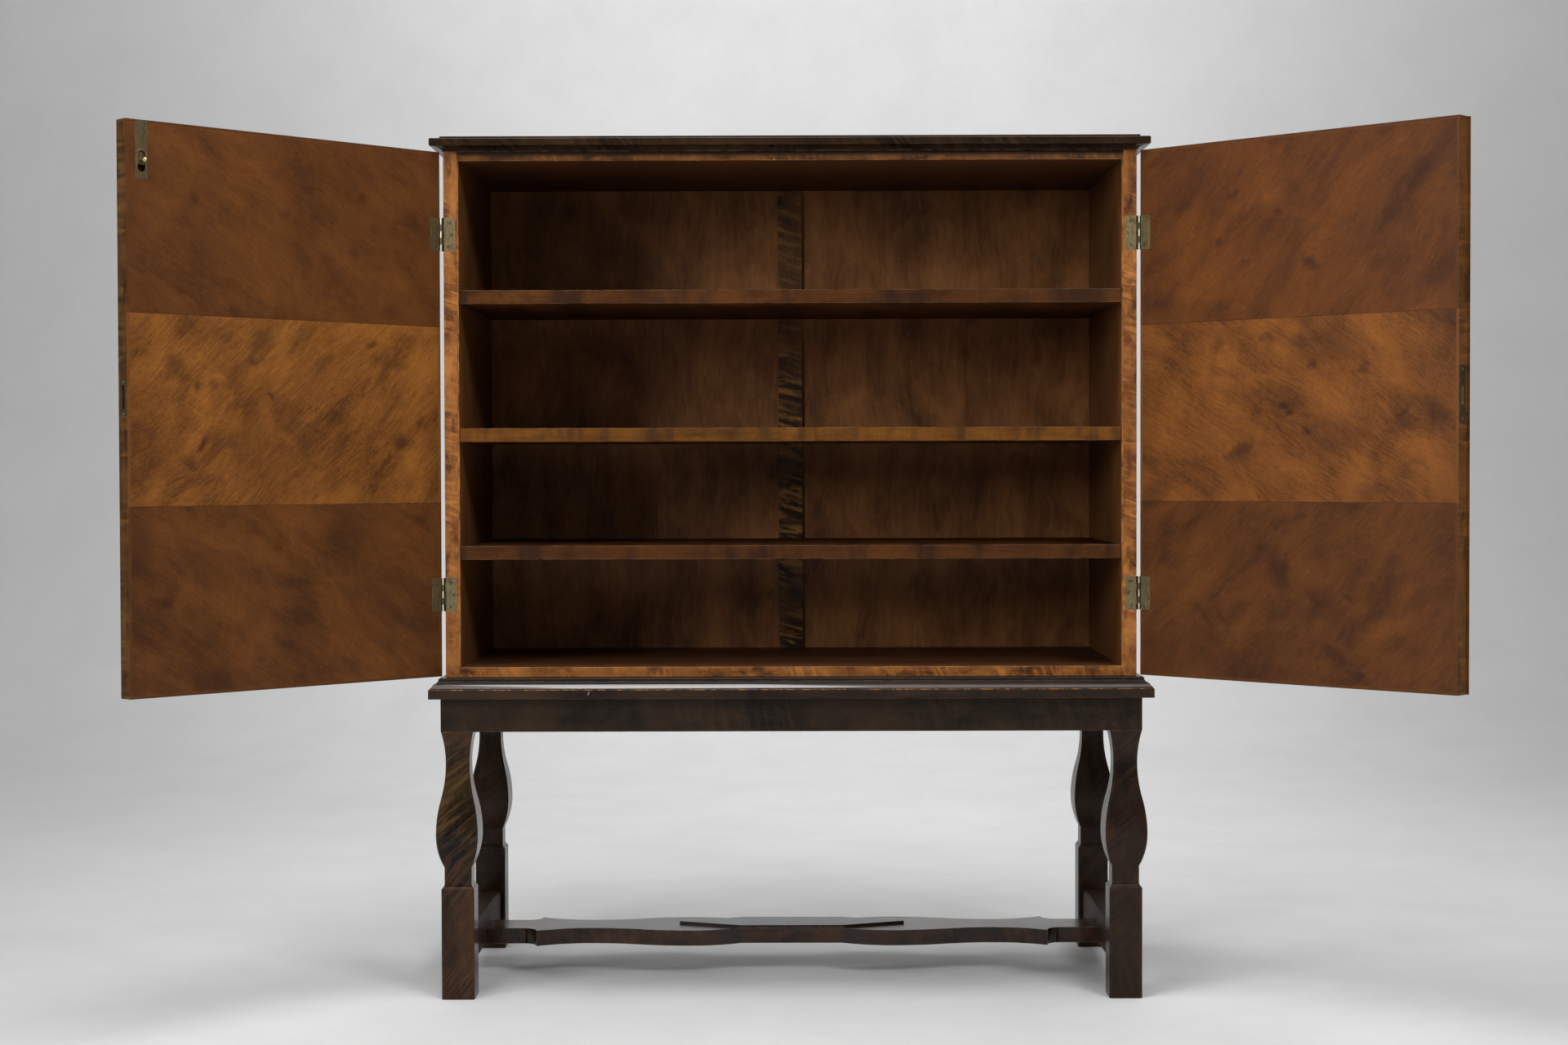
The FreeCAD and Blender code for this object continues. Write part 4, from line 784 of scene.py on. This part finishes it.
MATERIALS = {
    "figured_leg": flamed_leg(
        "flamed_leg", tone(82, 61, 35), tone(16, 13, 11), tone(11, 9, 8), tone(76, 50, 31),
        Curl_Pitch=1.1, **LEG_LOOK,
    ),
    "plain_leg": stained(
        "plain_leg", "z", 0.45, -0.8, light=tone(56, 39, 27), dark=tone(18, 14, 12),
        Clouds=1.9, Patches=0.6, shine=0.16,
    ),
    "stand_apron": stained(
        "stained_apron", "x", 0.35, 0.2, light=tone(62, 44, 26), dark=tone(18, 14, 11),
        Clouds=1.6, Patches=0.6,
    ),
    "stand_moulding": stand_moulding_wood(
        tone(62, 46, 33), tone(25, 19, 17), tone(13, 10, 9), ((-0.300, 0.4585, 0.7, 3.6, 75, 0.9),)
    ),
    # Strong arris wear on the side stretchers: partly wear and partly a painted highlight along their upper
    # arrises
    "side_stretcher": stained(
        "stained_side_stretcher", "y", 0.3, 0.5, gloss=0.5, shine=0.08, wear=1.0, dust=0.0
    ),
    "stand_side_rail": stained("stained_side_rail", "y", 0.3, 0.5),
    "stand_stretcher": stretcher_wood(),
    "stretcher_plate": stained(
        "stained_plate", "x", 0.2, 0.2, light=tone(34, 28, 25), dark=tone(20, 17, 16),
        gloss=0.15, bump=0.05, wear=0.1,
    ),
    "cornice_front": stained(
        "stained_cornice", "x", 0.6, 0.7, light=tone(60, 42, 25), dark=tone(16, 12, 9), Clouds=1.6, shine=0.14
    ),
    "cornice_side": stained("stained_cornice_side", "y", 0.5, 0.7),
    "case_edge": case_front_edge(
        tone(188, 122, 60), tone(100, 56, 27), tone(56, 27, 15), tone(27, 16, 9),
        (
            (-0.0232, 1.2505, 1.0, 1.6, 70, 1.0),
            (-0.0262, 1.2484, 0.9, 2.0, 10, 0.9),
            (-0.0185, 1.2483, 0.7, 1.5, 0, 0.8),
        ),
        **EDGE_LOOK,
    ),
    "case_side": plain_wood(
        "case_side_wood", "z", tone(128, 82, 43), tone(84, 52, 27), tone(44, 26, 14), **INSIDE
    ),
    "case_board": plain_wood(
        "case_board_wood", "x", tone(98, 57, 27), tone(64, 37, 18), tone(36, 21, 11), **INSIDE
    ),
    "shelf": shelf_wood(
        "shelf_wood", tone(100, 58, 22), tone(50, 27, 12), tone(28, 16, 9), tone(44, 25, 16), 0.0, 0.49
    ),
    "middle_shelf": shelf_wood(
        "middle_shelf_wood", tone(134, 84, 27), tone(74, 43, 14), tone(42, 23, 9), tone(58, 34, 20), 0.3, 0.49
    ),
    "back_panel": back_wood(
        "back_panel_wood", tone(196, 132, 76), tone(112, 72, 42), tone(58, 38, 25), **BACK
    ),
    "back_stile": back_wood(
        "back_stile_wood", tone(176, 122, 62), tone(50, 32, 17), tone(24, 15, 8),
        Streaks=0.3, Bands=0.4, Clouds=0.7, Curl=1.6, Curl_Slope=0.25, Curl_Pitch=0.9, Vessels=0.2,
        gloss=0.38,
    ),
    "left_door_panel": door_veneer(
        "left",
        (-0.60, 0.72, -0.56),
        (tone(115, 68, 26), tone(161, 101, 40), tone(114, 67, 25)),
        (tone(66, 37, 15), tone(82, 46, 18), tone(70, 39, 16)),
        tone(52, 26, 14),
        LEFT_MARKS,
    ),
    "right_door_panel": door_veneer(
        "right",
        (0.80, -0.55, 0.80),
        (tone(113, 65, 23), tone(149, 89, 33), tone(119, 67, 23)),
        (tone(62, 34, 13), tone(80, 44, 16), tone(71, 38, 13)),
        tone(50, 25, 13),
        RIGHT_MARKS,
    ),
    "left_door_edging": door_edging("left", tone(120, 80, 36), tone(62, 39, 18), tone(26, 16, 8)),
    "right_door_edging": door_edging("right", tone(136, 88, 41), tone(76, 47, 22), tone(34, 19, 10)),
    "brass": aged_brass("aged_brass", tone(124, 108, 80), tone(86, 74, 54), 0.38),
    "case_leaf": aged_brass(
        "knuckle_painted_glint_and_shade", tone(164, 144, 106), tone(106, 91, 66), 0.38, tone(232, 222, 196)
    ),
    "door_leaf": aged_brass(
        "knuckle_painted_dim_glint_and_shade", tone(132, 119, 84), tone(86, 77, 54), 0.38, tone(120, 108, 82)
    ),
    "screw_brass": aged_brass("screw_brass", tone(150, 138, 104), tone(44, 38, 27), 0.24),
    "bright_brass": aged_brass("rubbed_brass", tone(206, 186, 138), tone(136, 118, 80), 0.26),
}


def dress(material, *nodes):
    """Give CAD pieces their finished material."""
    for name in nodes:
        mesh = frame["nodes"][name].data
        mesh.materials.clear()
        mesh.materials.append(MATERIALS[material])


dress("figured_leg", "front_left_leg")
dress("plain_leg", "front_right_leg", "rear_left_leg", "rear_right_leg")
dress("stand_apron", "front_apron", "rear_apron", "rear_stand_rail")
dress("stand_moulding", "front_stand_moulding")
dress("stand_side_rail", "left_apron", "right_apron", "left_stand_moulding", "right_stand_moulding")
dress("side_stretcher", "left_stretcher", "right_stretcher")
dress("stand_stretcher", "centre_stretcher")
dress("stretcher_plate", "stretcher_plate")
dress("cornice_front", "front_cornice", "top_panel", "rear_cornice_rail")
dress("cornice_side", "left_cornice", "right_cornice")
dress("case_edge", "case_front_edgings")
dress("case_side", "left_side", "right_side")
dress("case_board", "case_top", "case_bottom")
dress("shelf", "upper_shelf", "lower_shelf")
dress("middle_shelf", "middle_shelf")
dress("back_panel", "left_back_panel", "right_back_panel")
dress("back_stile", "back_centre_stile")
dress("left_door_panel", "left_door_panel")
dress("right_door_panel", "right_door_panel")
dress("left_door_edging", "left_door_edgings")
dress("right_door_edging", "right_door_edgings", "meeting_strip")
dress("case_leaf", "left_case_hinge_leaves", "right_case_hinge_leaves", "hinge_pins")
dress("door_leaf", "left_door_hinge_leaves", "right_door_hinge_leaves")
dress("brass", "shelf_pins", "strike_plate", "door_bolt_plate", "lock_case", "lock_forend", "door_bolt_rod")
dress("bright_brass", "lock_bolt", "door_bolt_knob")


# Screws and the knob
def chosen(items, kind):
    """The items of one kind among the results of a bmesh operation."""
    return [item for item in items if isinstance(item, kind)]


def add_screw(work, place, sizes=LEAF_SCREW):
    """A countersunk head with its slot, sunk almost flush."""
    radius, slot = sizes
    made = bmesh.ops.create_circle(work, cap_ends=True, segments=20, radius=radius)
    fresh = set(made["verts"])
    for side in (-1, 1):
        edges = [edge for edge in work.edges if edge.verts[0] in fresh]
        faces = [face for face in work.faces if face.verts[0] in fresh]
        cut = bmesh.ops.bisect_plane(
            work, geom=[*fresh, *edges, *faces], plane_co=(0, side * slot / 2, 0), plane_no=(0, 1, 0)
        )
        fresh |= set(chosen(cut["geom_cut"], bmesh.types.BMVert))
    faces = [face for face in work.faces if face.verts[0] in fresh]
    raised = bmesh.ops.extrude_face_region(work, geom=faces)
    top_verts = chosen(raised["geom"], bmesh.types.BMVert)
    top_faces = chosen(raised["geom"], bmesh.types.BMFace)
    fresh |= set(top_verts)
    bmesh.ops.translate(work, verts=top_verts, vec=(0, 0, HEAD_LIFT))
    cheeks = [face for face in top_faces if abs(face.calc_center_median().y) > slot / 2]
    for cheek in cheeks:
        lifted = bmesh.ops.extrude_face_region(work, geom=[cheek])
        verts = chosen(lifted["geom"], bmesh.types.BMVert)
        fresh |= set(verts)
        bmesh.ops.translate(work, verts=verts, vec=(0, 0, CHEEK_LIFT))
        bmesh.ops.delete(work, geom=[cheek], context="FACES_ONLY")
    bmesh.ops.translate(work, verts=list(fresh), vec=(0, 0, -HEAD_SINK))
    bmesh.ops.transform(work, matrix=place, verts=list(fresh))


def finish_piece(name, work, body, material):
    """Turn a bmesh into a piece that rides on a body."""
    bmesh.ops.recalc_face_normals(work, faces=work.faces)
    mesh = bpy.data.meshes.new(name)
    work.to_mesh(mesh)
    work.free()
    mesh.materials.append(MATERIALS[material])
    piece = bpy.data.objects.new(name, mesh)
    bpy.context.scene.collection.objects.link(piece)
    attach(piece, body)
    return piece


def facing(normal, spin):
    """A turn that points z along a normal, then spins about it."""
    return Vector(normal).to_track_quat("Z", "Y").to_matrix().to_4x4() @ Matrix.Rotation(spin, 4, "Z")


def door_matrix(word):
    """From the plan of a closed door to the door as it hangs open."""
    at = Matrix.Translation((DOOR_SIDE[word] * HINGE_AXIS_X, HINGE_AXIS_Y, 0))
    return at @ Matrix.Rotation(DOOR_ANGLE[word], 4, "Z")


for word, side in DOOR_SIDE.items():
    case_screws = bmesh.new()
    door_screws = bmesh.new()
    for centre in HINGE_HEIGHTS:
        for number, (lift, inset) in enumerate(LEAF_SCREWS):
            place = Matrix.Translation((side * (HINGE_AXIS_X - inset), CASE_FRONT_Y, centre + lift))
            add_screw(case_screws, place @ facing((0, -1, 0), 0.6 + number * 1.1 + centre))
            place = Matrix.Translation((-side * inset, -INNER_FACE, centre + lift))
            place = door_matrix(word) @ place @ facing((0, 1, 0), 0.2 + number * 0.9 + centre)
            add_screw(door_screws, place)
    finish_piece(word + "_case_hinge_screws", case_screws, "cabinet", "screw_brass")
    finish_piece(word + "_door_hinge_screws", door_screws, word + "_door", "screw_brass")

bolt_screws = bmesh.new()
for number, (shift, height) in enumerate(BOLT_SCREWS):
    place = Matrix.Translation((BOLT_X + shift, -INNER_FACE, height))
    place = door_matrix("left") @ place @ facing((0, 1, 0), 0.5 + number)
    add_screw(bolt_screws, place, SMALL_SCREW)
finish_piece("door_bolt_screws", bolt_screws, "left_door", "brass")

for word, heights in EDGE_SCREWS.items():
    work = bmesh.new()
    side = DOOR_SIDE[word]
    for number, height in enumerate(heights):
        place = Matrix.Translation((-side * FREE_EDGE, -LOCK_DEPTH, height))
        add_screw(work, door_matrix(word) @ place @ facing((-side, 0, 0), 0.7 + number), SMALL_SCREW)
    finish_piece("strike_screws" if word == "left" else "lock_screws", work, word + "_door", "bright_brass")


def make_knob():
    """The turned knob of the door bolt."""
    profile = ((0.0, 0.0042), (0.0016, 0.0038), (0.0030, 0.0026), (0.0037, 0.0008), (0.0036, -0.0012))
    profile += ((0.0028, -0.0028), (0.0021, -0.0036), (0.0022, -0.0044), (0.0019, -0.0052), (0.0019, -0.0112))
    work = bmesh.new()
    verts = [work.verts.new((x, 0, z)) for x, z in profile]
    edges = [work.edges.new(pair) for pair in zip(verts, verts[1:])]
    bmesh.ops.spin(
        work, geom=[*verts, *edges], cent=(0, 0, 0), axis=(0, 0, 1), angle=math.tau, steps=28, use_merge=True
    )
    bmesh.ops.remove_doubles(work, verts=work.verts, dist=0.00001)
    place = Matrix.Translation((BOLT_X, KNOB_SEAT - INNER_FACE, KNOB_HEIGHT))
    bmesh.ops.transform(work, matrix=door_matrix("left") @ place @ facing((0, 1, 0), 0), verts=work.verts)
    piece = finish_piece("door_bolt_turned_knob", work, "door_bolt", "bright_brass")
    for polygon in piece.data.polygons:
        polygon.use_smooth = True
    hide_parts("door_bolt_knob")


make_knob()


# Studio
def studio_paper():
    """Seamless paper with a painted pool of light, lighter around the cabinet than at the sides, and clear
    when seen from behind.
    """
    material, tree, shader = start_material("studio_paper")
    place = tree.place()
    x, y, z = tree.split(place)
    # Painted light: the paper's colour is lighter around the cabinet and darker towards the sides, in place
    # of the fall of lamplight
    wide = tree.absolute(tree.subtract(x, 0.1))
    edge = tree.span(wide, 0.4, 2.3)
    colour = tree.blend(edge, tone(221, 221, 221), tone(192, 192, 192))
    mottle = tree.noise(place, 4.0, 8.0, 0.7)
    colour = tree.blend(tree.span(mottle, 0.3, 0.75, 0.0, 0.14), colour, tone(160, 160, 160))
    tree.feed(shader.inputs["Base Color"], colour)
    shader.inputs["Roughness"].default_value = 0.8
    shader.inputs["Specular IOR Level"].default_value = 0.2
    clear = tree.node("ShaderNodeBsdfTransparent")
    sides = tree.node("ShaderNodeMixShader")
    tree.feed(sides.inputs[0], tree.node("ShaderNodeNewGeometry").outputs["Backfacing"])
    tree.feed(sides.inputs[1], shader.outputs[0])
    tree.feed(sides.inputs[2], clear.outputs[0])
    tree.feed(material.node_tree.nodes["Material Output"].inputs["Surface"], sides.outputs[0])
    return material


def make_studio():
    """Floor and backdrop in one swept sheet."""
    work = bmesh.new()
    points = [(-2.6, 0.0), (2.2, 0.0), (2.6, 0.02), (3.0, 0.10), (3.3, 0.26), (3.55, 0.55), (3.7, 0.95)]
    points += [(3.78, 1.5), (3.8, 5.0)]
    verts = [work.verts.new((-SHEET_HALF_WIDTH, y, z)) for y, z in points]
    edges = [work.edges.new(pair) for pair in zip(verts, verts[1:])]
    swept = bmesh.ops.extrude_edge_only(work, edges=edges)
    far_verts = chosen(swept["geom"], bmesh.types.BMVert)
    bmesh.ops.translate(work, verts=far_verts, vec=(2 * SHEET_HALF_WIDTH, 0, 0))
    bmesh.ops.recalc_face_normals(work, faces=work.faces)
    if min(work.faces, key=lambda face: face.calc_center_median().z).normal.z < 0:
        bmesh.ops.reverse_faces(work, faces=work.faces)
    mesh = bpy.data.meshes.new("studio_sheet")
    work.to_mesh(mesh)
    work.free()
    mesh.materials.append(studio_paper())
    sheet = bpy.data.objects.new("studio_sheet", mesh)
    bpy.context.scene.collection.objects.link(sheet)
    for polygon in mesh.polygons:
        polygon.use_smooth = True


def add_lamp(name, place, target, size, power):
    """A rectangular lamp at a place, turned to a target."""
    lamp = bpy.data.lights.new(name, "AREA")
    lamp.shape = "RECTANGLE"
    lamp.size, lamp.size_y = size
    lamp.energy = power
    made = bpy.data.objects.new(name, lamp)
    made.location = place
    made.rotation_euler = (Vector(target) - Vector(place)).to_track_quat("-Z", "Y").to_euler()
    bpy.context.scene.collection.objects.link(made)


def make_lights():
    """A broad sky, a soft box above the front, a wash on the backdrop, and a lamp from each front corner."""
    add_lamp("overhead_sky", (0.0, 0.4, 4.4), (0, 0.4, 0), (6.0, 3.6), 130)
    add_lamp("overhead_box", (-0.38, -0.87, 3.0), (-0.3, -0.6, 0.4), (0.8, 1.45), 32)
    add_lamp("backdrop_wash", (0.0, 2.3, 3.2), (0, 3.6, 1.0), (4.0, 0.8), 22)
    add_lamp("front_left", (-3.0, -3.0, 1.8), (0.2, 0, 0.85), (1.3, 1.3), 52)
    add_lamp("front_right", (2.2, -3.5, 3.6), (-0.2, 0, 0.8), (1.6, 1.2), 84)
    world = bpy.data.worlds.new("studio_air")
    bpy.context.scene.world = world
    world.use_nodes = True
    background = world.node_tree.nodes["Background"]
    background.inputs["Color"].default_value = tone(214, 214, 216)
    air = Tree(world.node_tree)
    seen = air.node("ShaderNodeLightPath").outputs["Is Camera Ray"]
    air.feed(background.inputs["Strength"], air.add(0.2, air.multiply(seen, 0.55)))


def make_camera():
    """The camera where the photograph was taken."""
    yaw, pitch, roll = CAMERA_TURN["yaw"], CAMERA_TURN["pitch"], CAMERA_TURN["roll"]
    forward = Vector((math.sin(yaw) * math.cos(pitch), math.cos(yaw) * math.cos(pitch), -math.sin(pitch)))
    level = Vector((math.cos(yaw), -math.sin(yaw), 0))
    upright = level.cross(forward)
    right = math.cos(roll) * level + math.sin(roll) * upright
    up = -math.sin(roll) * level + math.cos(roll) * upright
    lens = bpy.data.cameras.new("photo_camera")
    lens.sensor_fit = "HORIZONTAL"
    lens.sensor_width = SENSOR_WIDTH
    lens.lens = FOCAL_RATIO * SENSOR_WIDTH
    camera = bpy.data.objects.new("photo_camera", lens)
    turn = Matrix((right, up, -forward)).transposed().to_4x4()
    camera.matrix_world = Matrix.Translation(CAMERA_PLACE) @ turn
    bpy.context.scene.collection.objects.link(camera)
    bpy.context.scene.camera = camera


make_studio()
make_lights()
make_camera()
bpy.context.scene.view_settings.view_transform = "Standard"
